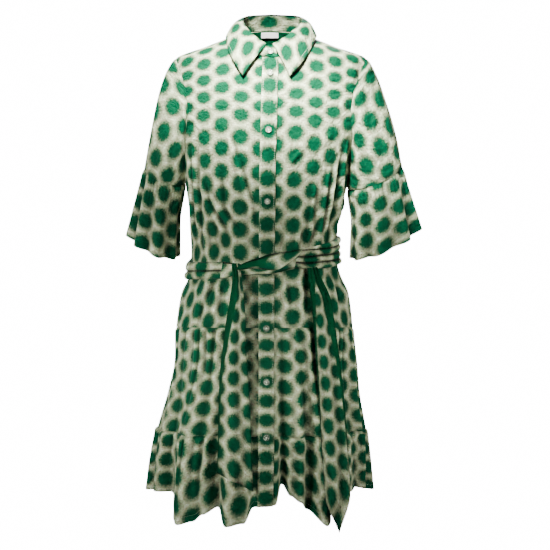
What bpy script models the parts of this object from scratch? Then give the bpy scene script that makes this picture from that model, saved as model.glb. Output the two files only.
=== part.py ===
"""A mini shirt dress in a light woven cloth, worn and filled out with nobody in it.

Lengths are millimetres until a mesh is made. The origin is the middle of the neck's base, level with
the shoulder seams' neck ends; +X is the viewer's right, the front faces -Y and +Z is up.
Round the body a place is given by its turn: 0 degrees at the centre front, 90 at the viewer's
right-hand side seam, 180 at the centre back and 270, or -90, at the viewer's left-hand side seam.
"""

import math

import bmesh
import bpy
import numpy as np

MM = 0.001
WALL = 1.3  # one layer of cloth, stiffened
SEAM = 0.3  # clear distance between two pieces at a seam
LIFT_OFF = WALL + SEAM  # how far an outer layer's face stands out from the face that it lies on

UNDERARM = -212
HIP_SEAM = -538
RUFFLE_SEAM = -735
HEM = -853

PLACKET_WIDTH = 28
PLACKET_OFF = LIFT_OFF + SEAM
BUTTON_WIDTH = 11.5
BUTTON_THICK = 2.4
BUTTON_HEIGHTS = (-69, -166, -289, -400, -514, -608, -704)
STAND_BUTTON = (3.5, -31)  # how far past the stand's bend, and its height

CLOTH = (0.55, 0.62, 0.50)
PEARL = (0.85, 0.84, 0.78)
WHITE = (0.9, 0.9, 0.88)


def table(columns, *rows):
    return {name: np.array(cells, float) for name, cells in zip(columns.split(), zip(*rows))}


# The body's rings: half widths left and right of the placket's line, depths front and back, that
# line's x, and how far the bust and the tied sash raise the front.
BODY = table(
    "level left right front back placket rise",
    (0, 64, 64, 20, 60, 0, 0),
    (-10, 91, 91, 38, 64, 0, 0),
    (-20, 117, 117, 54, 69, 0, 0),
    (-41, 171, 173, 71, 77, 0, 0),
    (-62, 178, 179, 80, 83, 0, 0),
    (-90, 179, 180, 92, 90, -1, 0),
    (-130, 176, 176, 105, 96, -2, 0),
    (-170, 168, 168, 114, 98, -3, 0),
    (-212, 158, 158, 120, 98, -4, 0),
    (-250, 154, 151, 121, 96, -5, 1),
    (-300, 148, 141, 117, 91, -5, 4),
    (-346, 143, 130, 110, 86, -6, 8),
    (-380, 141, 126, 105, 84, -6, 11),
    (-412, 142, 128, 104, 85, -6, 13),
    (-440, 144, 136, 108, 89, -7, 15),
    (-475, 160, 153, 114, 96, -7, 18),
    (-538, 171, 162, 124, 112, -7, 24),
    (-602, 175, 168, 132, 122, -7, 28),
    (-668, 187, 173, 145, 134, -7, 30),
    (-735, 205, 183, 157, 147, -7, 31),
    (-795, 217, 192, 165, 157, -8, 24),
    (-853, 222, 197, 170, 164, -9, 12),
)

# A bodice panel's rows, from the shoulder seam down to the underarm: its inner end goes round the
# neckline and down the centre line, its outer end goes round the armhole.
FRONT_ROWS = table(
    "row inner_turn inner_level outer_turn outer_level",
    (0, 90, 0, 90, -41),
    (1, 76, -0.6, 81, -42),
    (2, 52, -5, 67, -58),
    (3, 31, -16, 60, -80),
    (4, 18, -27, 56, -103),
    (5, 8, -37.5, 55.5, -128),
    (6, 0, -42, 58, -152),
    (7, 0, -76, 63, -174),
    (8, 0, -118, 71, -193),
    (9, 0, -165, 80, -206),
    (10, 0, -212, 90, -212),
)
BACK_ROWS = table(
    "row inner_turn inner_level outer_turn outer_level",
    (0, 90, 0, 90, -41),
    (1, 98, 0, 99, -42),
    (2, 116, 0, 113, -58),
    (3, 138, 0, 119, -80),
    (4, 159, 0, 121, -103),
    (5, 180, 0, 121, -128),
    (6, 180, -36, 118, -152),
    (7, 180, -78, 113, -174),
    (8, 180, -122, 106, -193),
    (9, 180, -167, 98, -206),
    (10, 180, -212, 90, -212),
)
UPPER_ROWS = 10
LOWER_ROWS = 9
BODICE_ROWS = UPPER_ROWS + LOWER_ROWS
NECK_ROWS = 4  # rows from the underarm up to the neckline's front
FRONT_COLUMNS = 15
RIDGE_LEAN = 0.2  # the shoulder seam's cut edges lean together, so they start this much further apart
NECK_LEAN = 0.18  # the neck leans forward, so its back stands this much higher for each step back
NECK_LEAN_DEPTH = 100

# Where the neckline passes the shoulder seams and the centre back, in rows counted on from the
# centre front towards the viewer's right.
NECK_STEPS = table("turn step", (0, 0), (90, 6), (180, 11), (270, 16), (360, 22))
ROUND_NECK = 22
STAND_ROWS = 2

# The skirt's folds across the front, a row for each crest and each valley: how far it stands out at
# the ruffle's seam and at the hem, and how far it raises the hem.
FRONT_FOLDS = table(
    "turn seam hem lift",
    (-90, 4, 8, 0),
    (-85, 4, 8, 0),
    (-77, -4, -9, 4),
    (-69, 3, 3, 10),
    (-58, -7, -18, 12),
    (-41, 8, 20, -27),
    (-35, 2, 12, -22),
    (-30, 5, 9, -8),
    (-24, -6, -10, 2),
    (-18, 6, 16, -24),
    (-10, -3, 2, -20),
    (-5.2, 0, 0, 12),
    (0, 0, 0, 13),
    (5.2, 0, 0, 15),
    (9.5, -7, -23, 46),
    (14, 1, -10, 26),
    (18.5, 8, 4, 18),
    (23.5, -7, -12, 0),
    (31, 8, 22, -24),
    (42, -6, -16, 8),
    (52, 3, -2, 22),
    (62, -4, -9, 20),
    (71, 4, 3, 14),
    (78, -3, -8, 6),
    (85, 4, 8, 0),
    (90, 4, 8, 0),
)
BACK_WAVES = 11
SKIRT_ROWS = 4
RUFFLE_ROWS = 3
BACK_CREST = (6, 15, -5)  # seam, hem and lift of the deepest crest across the back
BACK_VALLEY = (-5, -13, 4)

# Pleats that the tied sash gathers above and below the waist.
PLEATS_ROUND = 15
PLEAT_HEIGHT = 3.6
PLEAT_LEVEL = -402

# The collar round the neck: the fold at the top of the stand, the leaf's falling edge, and how far
# each sits to the viewer's right of the middle.
COLLAR = table(
    "turn fold_x fold_y fold_z edge_x edge_y edge_z fold_shift edge_shift",
    (0, 5, -71, -18, 41, -98, -74, -1, -7),
    (25, 20, -67, -9, 57, -88, -54, 0, -4),
    (50, 36, -53, 4, 73, -62, -28, 1, -2),
    (90, 53, -6, 27, 82, -10, -1, 4, 2),
    (130, 43, 37, 38, 66, 51, 0, 4, 3),
    (180, 0, 57, 42, 0, 76, 0, 0, 0),
)
LEAF_CLEAR = 2.8  # the stand's top ends this far under the fold
STAND_OUT = 0.9  # and this far outside its line, but in front the stand leans back from the leaf
STAND_LEAN = 2.4
LEAF_ARCH = 2  # the leaf rises this far over its fold before it falls
FLAT_FRONT = 40  # its front edge is cut straight, and the leaf takes its full arch this far round
STAND_CLEAR = 0.9  # its leaning foot starts this far above the neckline

# The sash round the waist: its middle line's level, its height and how far it stands off the dress.
SASH = table(
    "turn level height off",
    (-180, -404, 44, 7),
    (-140, -412, 44, 8.5),
    (-90, -430, 34, 9.3),
    (-60, -429, 33, 8),
    (-31, -427, 32, 8),
    (19, -406, 34, 8),
    (35, -404, 42, 8),
    (65, -397, 50, 9),
    (90, -391, 52, 10),
    (140, -402, 42, 7),
    (180, -404, 44, 7),
)
SASH_ENDS = (19, 329)  # turns where the twist at the front takes over from the band
SASH_RIPPLE = 1.6

# The twist in front, from the viewer's left: the middle of its rope and its half height and depth.
TWIST = table(
    "x z face half_height half_depth roll",
    (-84, -416, 106.2, 14, 3.5, 0),
    (-68, -412, 119, 13, 6, 40),
    (-35, -405, 127, 12, 6.5, 110),
    (-9, -398, 128, 13, 6.5, 190),
    (17, -395, 126, 14, 6, 270),
    (37.5, -393, 113.8, 17, 3.5, 360),
)

# The sash's hanging ends, down from the knot: their two side edges, how far in front the near one
# hangs, how much further back the far one is, and how much lower.
LEFT_TAIL = table(
    "level near_x far_x face back slant",
    (-398, -68, -54, 124.2, -3, 0),
    (-425, -67, -50, 124.2, -3, 0),
    (-460, -71, -46, 130, -4, 0),
    (-500, -78, -43, 135, -5, 0),
    (-548, -84, -42, 141, -5, 0),
    (-590, -89, -39, 146, -4, 0),
    (-635, -91, -36, 152, -3, 2),
    (-722, -93, -32, 167, -2, 14),
    (-764, -94, -30, 177, -1, 33),
)
RIGHT_TAIL = table(
    "level near_x far_x face back slant",
    (-410, 66, 84, 99.4, 10, 0),
    (-430, 67, 92, 103, 12, 0),
    (-463, 72, 107, 111, 15, 0),
    (-500, 76, 114, 118, 18, 0),
    (-550, 80, 121, 126, 20, 0),
    (-636, 86, 132, 140, 22, 2),
    (-723, 91, 139, 157, 20, 12),
    (-780, 95, 143, 170, 14, 30),
    (-814, 97, 123, 179, 8, 62),
)
TAIL_RIPPLE = 2.5
TAIL_RIPPLES = 1.5  # from one side edge to the other

LABEL_X = (-18, 15)
LABEL_LEVELS = (-1.5, -11)
LABEL_CLEAR = 1.1

# The sleeves, -1 the viewer's left: the flounce's seam and hem are rings tilted square to the arm.
SLEEVES = {
    "right": dict(side=-1, seam=(199, -252), seam_half=(36, 63), hem=(215, -381), hem_half=(49, 72)),
    "left": dict(side=1, seam=(197, -256), seam_half=(50, 57), hem=(211, -377), hem_half=(68, 66)),
}
ARM_TILT = math.radians(24)
FRONT_DROP = 0.12  # the sleeve's rings fall this much for each step forward
SLEEVE_GAP = 0.35
SLEEVE_ROWS = 6
SLEEVE_PULL = 150  # how firmly the sleeve's lower end hangs straight down
FLOUNCE_WAVES = 9
FLOUNCE_RIPPLE = (1.5, 10)  # the waves' height at the flounce's seam and at its hem


def slopes_of(xs, ys):
    """Slopes that carry a smooth curve through the points without overshooting them."""
    steps = np.diff(xs)
    rates = np.diff(ys) / steps
    slopes = np.zeros(len(xs))
    slopes[0], slopes[-1] = rates[0], rates[-1]
    before, after = rates[:-1], rates[1:]
    one_way = before * after > 0
    near, far = 2 * steps[1:] + steps[:-1], steps[1:] + 2 * steps[:-1]
    safe_before, safe_after = np.where(one_way, before, 1), np.where(one_way, after, 1)
    slopes[1:-1] = np.where(one_way, (near + far) / (near / safe_before + far / safe_after), 0)
    return slopes


def read(source, column, at):
    """A table's column at places in its first column, on a smooth curve through the rows."""
    xs, ys = next(iter(source.values())), source[column]
    if xs[0] > xs[-1]:
        xs, ys = xs[::-1], ys[::-1]
    slopes = slopes_of(xs, ys)
    at = np.clip(np.asarray(at, float), xs[0], xs[-1])
    k = np.clip(np.searchsorted(xs, at, side="right") - 1, 0, len(xs) - 2)
    step = xs[k + 1] - xs[k]
    t = (at - xs[k]) / step
    start = ys[k] * (1 + 2 * t) + slopes[k] * step * t
    end = ys[k + 1] * (3 - 2 * t) - slopes[k + 1] * step * (1 - t)
    return start * (1 - t) ** 2 + end * t**2


def ease(t):
    t = np.clip(t, 0, 1)
    return t * t * (3 - 2 * t)


def blend(a, b, t):
    return a * (1 - t) + b * t


def skirt_folds():
    """The front's folds and then the back's, from -90 to 270 degrees."""
    rows = list(zip(*FRONT_FOLDS.values()))
    halves = 2 * BACK_WAVES
    for k in range(1, halves):
        turn = 90 + 180 * k / halves + 1.6 * math.sin(2.3 * k)
        strength = 0.75 + 0.25 * math.sin(1.9 * k + 0.6)
        size = BACK_CREST if k % 2 else BACK_VALLEY
        beside_seam = k in (1, halves - 1)
        rows.append((turn, *(rows[0][1:] if beside_seam else (strength * value for value in size))))
    rows.append((270, *rows[0][1:]))
    return table("turn seam hem lift", *rows)


FOLDS = skirt_folds()
HALF_WAVES = len(FOLDS["turn"]) - 1
SIDE_ROW = len(FRONT_FOLDS["turn"]) - 1  # the fold row at the viewer's right side seam
CENTRE_ROW = 12  # the fold row at the centre front
FOLD_COLUMNS = 3  # columns of faces from a crest to a valley


def fold_value(column, turn):
    """A fold column at a turn, eased from each crest to the next valley."""
    turn = (turn + 90) % 360 - 90
    k = np.clip(np.searchsorted(FOLDS["turn"], turn, side="right") - 1, 0, HALF_WAVES - 1)
    along = (turn - FOLDS["turn"][k]) / (FOLDS["turn"][k + 1] - FOLDS["turn"][k])
    return blend(FOLDS[column][k], FOLDS[column][k + 1], ease(along))


def share_between(start, end, level):
    return np.clip((start - level) / (start - end), 0, 1)


def standing_out(turn, level):
    """How far the cloth stands out from the smooth body, through its pleats and folds."""
    near_waist = np.exp(-(((level - PLEAT_LEVEL) / 75) ** 2)) - 0.6 * np.exp(-(((level - PLEAT_LEVEL) / 26) ** 2))
    clear_of_placket = ease((np.abs(turn) - 6) / 10)
    pleats = PLEAT_HEIGHT * near_waist * clear_of_placket * np.cos(np.radians(PLEATS_ROUND * turn))
    tier = ease(share_between(HIP_SEAM, RUFFLE_SEAM, level))
    ruffle = share_between(RUFFLE_SEAM, HEM, level)
    return pleats + tier * blend(fold_value("seam", turn), fold_value("hem", turn), ruffle)


def body(turn, level, off=0.0):
    """The point of the dress's outer face at a turn and a level, or off millimetres out from it."""
    turn, level = np.broadcast_arrays(np.asarray(turn, float), np.asarray(level, float))
    turn = (turn + 180) % 360 - 180
    angle = np.radians(turn)
    width = np.where(turn > 0, read(BODY, "right", level), read(BODY, "left", level))
    depth = np.where(np.abs(turn) < 90, read(BODY, "front", level), read(BODY, "back", level))
    out_x, out_y = np.sin(angle) / width, -np.cos(angle) / depth
    off = (off + standing_out(turn, level)) / np.hypot(out_x, out_y)
    x = read(BODY, "placket", level) + width * np.sin(angle) + off * out_x
    y = -depth * np.cos(angle) + off * out_y
    rise = read(BODY, "rise", level) * np.maximum(0, np.cos(angle))
    lift = fold_value("lift", turn) * share_between(RUFFLE_SEAM, HEM, level)
    lean = NECK_LEAN * np.maximum(0, y) * ease(1 + level / NECK_LEAN_DEPTH)
    return x, y, level + rise + lift + lean


def turn_at(x, level):
    """The turn on the front where the smooth body has this x."""
    reach = x - read(BODY, "placket", level)
    width = np.where(reach > 0, read(BODY, "right", level), read(BODY, "left", level))
    return np.degrees(np.arcsin(np.clip(reach / width, -1, 1)))


def bodice_edge(rows, row, end):
    """The turn and level of a bodice row's inner or outer end."""
    lower = np.clip((row - UPPER_ROWS) / LOWER_ROWS, 0, 1)
    turn = read(rows, end + "_turn", row)
    level = np.where(row < UPPER_ROWS, read(rows, end + "_level", row), blend(UNDERARM, HIP_SEAM + SEAM, lower))
    return turn, level


def bodice(rows, row, outward, side):
    """A bodice panel's face: outward runs from the neckline or centre line, 0, to the side, 1."""
    inner_turn, inner_level = bodice_edge(rows, row, "inner")
    outer_turn, outer_level = bodice_edge(rows, row, "outer")
    x, y, z = body(side * blend(inner_turn, outer_turn, outward), blend(inner_level, outer_level, outward))
    apart = SEAM / 2 + RIDGE_LEAN * (row <= 0)
    if rows is BACK_ROWS:
        return x, y + apart, z
    return x + 2 * side * SEAM * (outward == 0) * (row > UPPER_ROWS - NECK_ROWS - 0.5), y - apart, z


def neck(turn):
    """The neckline's point at a turn round it, on the bodice panels' own edges."""
    step = read(NECK_STEPS, "step", turn % 360)
    side = np.where(step < NECK_STEPS["step"][2], 1, -1)
    step = np.minimum(step, NECK_STEPS["step"][-1] - step)
    shoulder = NECK_STEPS["step"][1]
    front = bodice(FRONT_ROWS, shoulder - np.minimum(step, shoulder), 0 * step, side)
    back = bodice(BACK_ROWS, np.maximum(step - shoulder, 0), 0 * step, side)
    return [np.where(step < shoulder, a, b) for a, b in zip(front, back)]


def material(name, colour, roughness):
    made = bpy.data.materials.new(name)
    made.use_nodes = True
    shader = made.node_tree.nodes["Principled BSDF"]
    shader.inputs["Base Color"].default_value = (*colour, 1)
    shader.inputs["Roughness"].default_value = roughness
    shader.inputs["Metallic"].default_value = 0
    made.diffuse_color = (*colour, 1)
    return made


def show(name, mesh, colour, roughness=0.7):
    data = bpy.data.meshes.new(name)
    mesh.to_mesh(data)
    mesh.free()
    data.materials.append(material(name, colour, roughness))
    data.shade_smooth()
    piece = bpy.data.objects.new(name, data)
    bpy.context.scene.collection.objects.link(piece)
    return piece


def formed_grid(place, across, up):
    """A grid whose corners go where place puts them, given shares to the viewer's right and up."""
    mesh = bmesh.new()
    bmesh.ops.create_grid(mesh, x_segments=across, y_segments=up, size=0.5)
    shares = np.array([corner.co[:2] for corner in mesh.verts]) + 0.5
    points = np.column_stack(np.broadcast_arrays(*place(shares[:, 0], shares[:, 1])))
    for corner, point in zip(mesh.verts, points * MM):
        corner.co = point
    bmesh.ops.remove_doubles(mesh, verts=mesh.verts, dist=0.02 * MM)
    return mesh


def walled(name, mesh, colour=CLOTH, roughness=0.7):
    """A piece of cloth whose outer face the mesh is."""
    thickness = show(name, mesh, colour, roughness).modifiers.new("wall", "SOLIDIFY")
    thickness.thickness = WALL * MM
    thickness.offset = -1
    thickness.use_even_offset = True


def cloth(name, place, across, up):
    walled(name, formed_grid(place, across, up))


def make_fronts():
    for name, side in (("front_right", -1), ("front_left", 1)):

        def place(across, up, side=side):
            outward = across if side > 0 else 1 - across
            return bodice(FRONT_ROWS, BODICE_ROWS * (1 - up), outward, side)

        cloth(name, place, FRONT_COLUMNS, BODICE_ROWS)


def make_back():
    """The back is one panel, so its grid has a strip too many down the middle. The strip closes to
    nothing below the neck, and the part of it that spans the neck is cut away."""
    columns = 2 * FRONT_COLUMNS + 1

    def place(across, up):
        column = across * columns
        side = np.where(across < 0.5, 1, -1)
        outward = np.maximum(FRONT_COLUMNS - column, column - FRONT_COLUMNS - 1) / FRONT_COLUMNS
        return bodice(BACK_ROWS, BODICE_ROWS * (1 - up), np.clip(outward, 0, 1), side)

    panel = formed_grid(place, columns, BODICE_ROWS)
    spanning = []
    for face in panel.faces:
        ends = [corner.co.x for corner in face.verts]
        if face.calc_center_median().z > 0 and min(ends) < -MM and max(ends) > MM:
            spanning.append(face)
    bmesh.ops.delete(panel, geom=spanning, context="FACES")
    walled("back", panel)


def make_tiers():
    """Each gathered tier is cut as two fronts and a back."""
    panels = (("front_right", 0, CENTRE_ROW), ("front_left", CENTRE_ROW, SIDE_ROW), ("back", SIDE_ROW, HALF_WAVES))
    tiers = (("skirt", HIP_SEAM, RUFFLE_SEAM, SKIRT_ROWS), ("ruffle", RUFFLE_SEAM, HEM, RUFFLE_ROWS))
    for tier, top, bottom, up_rows in tiers:
        for panel, first, last in panels:

            def place(across, up, first=first, last=last, top=top, bottom=bottom):
                fold = blend(first, last, across)
                turn = np.interp(fold, np.arange(HALF_WAVES + 1), FOLDS["turn"])
                x, y, z = body(turn, blend(bottom, top - SEAM, up))
                at_centre = np.where(across < 0.5, 1, -1) * (fold == CENTRE_ROW)
                return x + SEAM / 2 * at_centre, y + SEAM / 2 * (1 if first == SIDE_ROW else -1), z

            cloth(f"{tier}_{panel}", place, FOLD_COLUMNS * (last - first), up_rows)


def placket_levels():
    """The rows of the panels that the placket lies on, from the hem up to the neck."""
    ruffle = [blend(HEM, RUFFLE_SEAM, k / RUFFLE_ROWS) for k in range(RUFFLE_ROWS)]
    skirt = [blend(RUFFLE_SEAM, HIP_SEAM, k / SKIRT_ROWS) for k in range(SKIRT_ROWS)]
    below = [blend(HIP_SEAM, UNDERARM, k / LOWER_ROWS) for k in range(LOWER_ROWS)]
    above = [UNDERARM, *FRONT_ROWS["inner_level"][UPPER_ROWS - 1 : UPPER_ROWS - NECK_ROWS - 1 : -1]]
    return ruffle + skirt + below + above


def placket_face(x_off, level, off):
    """A point over the placket's strip, x_off to the viewer's right of its middle line."""
    x, y, z = body(turn_at(read(BODY, "placket", level) + x_off, level), level, off)
    return x, y - SEAM / 2, z


def make_placket():
    levels = placket_levels()

    def place(across, up):
        level = np.interp(up * (len(levels) - 1), range(len(levels)), levels)
        return placket_face(PLACKET_WIDTH * (across - 0.5), level, PLACKET_OFF)

    cloth("placket", place, 2, len(levels) - 1)


def collar_line(line, turn, outward=0.0):
    """The collar's fold or falling edge, or a line outward millimetres beyond it."""
    turn = turn % 360
    side = np.where(turn > 180, -1, 1)
    near = np.minimum(turn, 360 - turn)
    x, y = read(COLLAR, line + "_x", near), read(COLLAR, line + "_y", near)
    grown = 1 + outward / np.hypot(x, y)
    return side * x * grown + read(COLLAR, line + "_shift", near), y * grown, read(COLLAR, line + "_z", near)


def stand_face(across, up):
    """The collar stand, one band round the neck whose buttoned end laps over its start."""
    step = across * (ROUND_NECK + 1)
    turn = np.minimum(np.interp(step, NECK_STEPS["step"], NECK_STEPS["turn"]), 359.99)
    past = np.maximum(0, step - ROUND_NECK) * PLACKET_WIDTH / 2
    lap = 2 * LIFT_OFF * ease((turn - 310) / 40)
    x, y, z = neck(turn)
    grown = 1 + lap / np.hypot(x, y)
    low = (x * grown + past, y * grown, z + STAND_CLEAR)
    lean = STAND_LEAN * (1 - ease(np.minimum(turn, 360 - turn) / FLAT_FRONT))
    tuck = 2 * LIFT_OFF * (1 - ease(turn / 40))
    top_x, top_y, top_z = collar_line("fold", turn, STAND_OUT - lean - tuck)
    top = (top_x + past, top_y, top_z - LEAF_CLEAR)
    return [blend(a, b, up) for a, b in zip(low, top)]


def make_collar():
    """The stand, and the leaf that falls from its fold."""

    def leaf(across, up):
        turn = np.minimum(np.interp(across * ROUND_NECK, NECK_STEPS["step"], NECK_STEPS["turn"]), 359.99)
        fold, edge = collar_line("fold", turn), collar_line("edge", turn)
        bend = [blend(a, b, 0.55) for a, b in zip(fold, edge)]
        arched = ease(np.minimum(turn, 360 - turn) / FLAT_FRONT)
        bend[2] = blend(blend(fold[2], edge[2], 0.45), fold[2] + LEAF_ARCH, arched)
        return [a * up**2 + 2 * c * up * (1 - up) + b * (1 - up) ** 2 for a, b, c in zip(fold, edge, bend)]

    cloth("collar_stand", stand_face, ROUND_NECK + 1, STAND_ROWS)
    cloth("collar", leaf, ROUND_NECK, 4)


def ring_point(centre, halves, turn, side, waves=0.0):
    """A point round a sleeve: turn 0 is against the body, 90 the front and 180 the outer side."""
    angle = np.radians(turn)
    outer, front = -np.cos(angle), np.sin(angle)
    across, deep = outer * (halves[0] + waves), front * (halves[1] + waves)
    x = side * (centre[0] + across * math.cos(ARM_TILT))
    return [x, -deep, centre[1] + across * math.sin(ARM_TILT) - FRONT_DROP * deep]


def around_sleeve(across, side):
    """The turn round a sleeve, so that across runs to the viewer's right seen from outside."""
    return 360 * (across if side > 0 else 1 - across)


def sleeve_head(turn, side):
    """Where the sleeve starts round the armhole: on the panels' own edges, and the way it leaves them."""
    step = UPPER_ROWS * turn / 180
    ends = np.ones_like(turn)
    front = bodice(FRONT_ROWS, np.clip(UPPER_ROWS - step, 0, UPPER_ROWS), ends, side)
    back = bodice(BACK_ROWS, np.clip(step - UPPER_ROWS, 0, UPPER_ROWS), ends, side)
    start = [np.where(turn < 180, a, b) for a, b in zip(front, back)]
    start[1] = start[1] + np.where(turn < 180, SEAM / 2, -SEAM / 2)
    angle = np.radians(turn)
    outer, front_share = (1 - np.cos(angle)) / 2, np.sin(angle)
    leave = [
        side * blend(20, 64, outer),
        -14 * front_share,
        -blend(10, 27, outer) - 22 * np.abs(front_share),
    ]
    length = np.sqrt(sum(part**2 for part in leave))
    return [a + part / length * SLEEVE_GAP for a, part in zip(start, leave)], leave


def make_sleeves():
    for name, sleeve in SLEEVES.items():
        side, seam, seam_half = sleeve["side"], sleeve["seam"], sleeve["seam_half"]
        hem, hem_half = sleeve["hem"], sleeve["hem_half"]
        down = (side * 22, 0, -1)

        def upper(across, up):
            turn = around_sleeve(across, side)
            t = 1 - up
            start, leave = sleeve_head(turn, side)
            end = ring_point(seam, seam_half, turn, side)
            end[2] = end[2] + SEAM / 2
            arrive = [down[0], 0, -SLEEVE_PULL * blend(0.35, 1, (1 - np.cos(np.radians(turn))) / 2)]
            return [
                a * (1 + 2 * t) * (1 - t) ** 2 + b * (3 - 2 * t) * t**2 + c * t * (1 - t) ** 2 - d * t**2 * (1 - t)
                for a, b, c, d in zip(start, end, leave, arrive)
            ]

        def flounce(across, up):
            turn = around_sleeve(across, side)
            angle = np.radians(turn)
            near_body = (0.5 + 0.5 * np.cos(angle)) ** 2
            uneven = np.cos(FLOUNCE_WAVES * angle + 0.9 * np.sin(2 * angle)) * (1 - 0.85 * near_body)
            top = ring_point(seam, seam_half, turn, side, FLOUNCE_RIPPLE[0] * uneven)
            top[2] = top[2] - SEAM / 2
            bottom = ring_point(hem, hem_half, turn, side, FLOUNCE_RIPPLE[1] * uneven)
            return [blend(b, a, up) for a, b in zip(top, bottom)]

        cloth(f"sleeve_{name}", upper, 2 * UPPER_ROWS, SLEEVE_ROWS)
        cloth(f"flounce_{name}", flounce, 4 * FLOUNCE_WAVES, 3)


def sash_face(turn, up, off=0.0):
    """The sash band's outer face at a turn, from its lower edge, 0, to its upper edge, 1."""
    near = (turn + 180) % 360 - 180
    height = read(SASH, "height", near)
    level = read(SASH, "level", near) + height * (up - 0.5)
    ripple = SASH_RIPPLE * np.cos(2 * np.pi * (3 * up + turn / 130))
    stand = read(SASH, "off", near) + ripple + off - standing_out(near, level)
    return body(near, level, stand)


def make_sash():
    def band(across, up):
        return sash_face(blend(*SASH_ENDS, across), up)

    cloth("sash_band", band, 44, 6)

    def twist(across, around):
        x = blend(TWIST["x"][0], TWIST["x"][-1], across)
        angle = 2 * np.pi * around
        roll = np.radians(read(TWIST, "roll", x))
        lobes = 1 + 0.16 * np.cos(2 * (angle - roll))
        height, depth = read(TWIST, "half_height", x), read(TWIST, "half_depth", x)
        y = -read(TWIST, "face", x) + depth * (1 + lobes * np.sin(angle))
        return x, y, read(TWIST, "z", x) + height * lobes * np.cos(angle)

    rope = formed_grid(twist, 14, 12)
    bmesh.ops.holes_fill(rope, edges=[edge for edge in rope.edges if edge.is_boundary])
    bmesh.ops.recalc_face_normals(rope, faces=rope.faces)
    show("sash_twist", rope, CLOTH)

    for name, rows in (("left", LEFT_TAIL), ("right", RIGHT_TAIL)):

        def tail(across, up, rows=rows):
            top, bottom = rows["level"][0], rows["level"][-1]
            level = blend(bottom, top, up)
            near, far = read(rows, "near_x", level), read(rows, "far_x", level)
            swell = TAIL_RIPPLE * np.minimum(1, (far - near) / 45) * np.cos(2 * np.pi * TAIL_RIPPLES * across)
            back = read(rows, "back", level) * across + swell
            return blend(near, far, across), back - read(rows, "face", level), level - read(rows, "slant", level) * across

        cloth(f"sash_tail_{name}", tail, 6, 12)


def make_button(name, line, height):
    """A round button at a height up a line of points, square to the face there."""
    k = int(np.searchsorted(line[:, 2], height))
    below, above = line[k - 1], line[k]
    slope = math.atan2(above[1] - below[1], above[2] - below[2])
    seat_x = np.interp(height, line[:, 2], line[:, 0])
    seat_y = np.interp(height, line[:, 2], line[:, 1])
    mesh = bmesh.new()
    radius = BUTTON_WIDTH / 2 * MM
    bmesh.ops.create_cone(
        mesh, cap_ends=True, segments=16, radius1=radius, radius2=radius, depth=BUTTON_THICK * MM
    )
    face_rim = [edge for edge in mesh.edges if all(corner.co.z > 0 for corner in edge.verts)]
    bmesh.ops.bevel(
        mesh, geom=face_rim, offset=0.7 * MM, offset_type="OFFSET", affect="EDGES", segments=1, profile=0.5, material=-1
    )
    button = show(name, mesh, PEARL, 0.25)
    button.rotation_euler = (math.pi / 2 - slope, 0, 0)
    out = SEAM + BUTTON_THICK / 2
    button.location = (seat_x * MM, (seat_y - out * math.cos(slope)) * MM, (height + out * math.sin(slope)) * MM)


def make_buttons():
    placket = np.array([placket_face(0, level, PLACKET_OFF) for level in placket_levels()])
    for number, height in enumerate(BUTTON_HEIGHTS, 1):
        make_button(f"button_{number}", placket, height)
    x, height = STAND_BUTTON
    across = (ROUND_NECK + 2 * x / PLACKET_WIDTH) / (ROUND_NECK + 1)
    make_button("button_stand", np.array([stand_face(across, up) for up in (0, 1)]), height)


def make_label():
    """The bare woven label inside the back of the neck."""

    def place(across, up):
        x = blend(LABEL_X[1], LABEL_X[0], across)
        level = blend(LABEL_LEVELS[1], LABEL_LEVELS[0], up)
        turn = 180 - np.degrees(np.arcsin(x / read(BODY, "right", level)))
        return body(turn, level, -LIFT_OFF - LABEL_CLEAR)

    walled("neck_label", formed_grid(place, 4, 1), WHITE, 0.8)


for old in list(bpy.data.objects):
    bpy.data.objects.remove(old, do_unlink=True)

make_fronts()
make_back()
make_tiers()
make_placket()
make_collar()
make_sleeves()
make_sash()
make_buttons()
make_label()
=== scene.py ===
"""A mini shirt dress in a light woven cloth printed with soft green dots, worn and filled out with
nobody in it.

Lengths are millimetres until a mesh is made. The origin is the middle of the neck's base, level with
the shoulder seams' neck ends; +X is the viewer's right, the front faces -Y and +Z is up.
Round the body a place is given by its turn: 0 degrees at the centre front, 90 at the viewer's
right-hand side seam, 180 at the centre back and 270, or -90, at the viewer's left-hand side seam.
"""

import math

import bmesh
import bpy
import numpy as np
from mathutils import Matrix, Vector


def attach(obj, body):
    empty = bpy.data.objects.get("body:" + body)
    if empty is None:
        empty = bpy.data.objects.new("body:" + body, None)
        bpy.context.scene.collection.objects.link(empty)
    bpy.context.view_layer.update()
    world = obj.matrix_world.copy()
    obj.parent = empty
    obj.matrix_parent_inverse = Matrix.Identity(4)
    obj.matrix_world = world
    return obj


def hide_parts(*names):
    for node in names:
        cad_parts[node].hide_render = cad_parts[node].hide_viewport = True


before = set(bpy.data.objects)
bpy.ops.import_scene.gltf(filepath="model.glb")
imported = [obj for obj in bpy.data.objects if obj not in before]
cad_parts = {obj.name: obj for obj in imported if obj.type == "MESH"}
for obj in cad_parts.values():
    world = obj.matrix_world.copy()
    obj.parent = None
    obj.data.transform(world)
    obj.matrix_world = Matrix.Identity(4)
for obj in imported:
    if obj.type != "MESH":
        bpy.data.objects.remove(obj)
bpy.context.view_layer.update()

# ------------------------------------------------------------------------------------------------
# The bodice: two fronts and a one-piece back, from the shoulder seams to the hip seam, cut from a
# light viscose cloth and drawn in at the waist by the sash. The cloth is printed on its outer face
# with soft green dots in staggered columns, and dyed a plain dark green on its reverse.
# ------------------------------------------------------------------------------------------------
MM = 0.001
CLOTH_THICK = 0.9
SEAM = 0.3  # clear distance between two pieces at a seam
LIFT_OFF = 1.6  # how far an outer layer's face stands out from the face that it lies on

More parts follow.
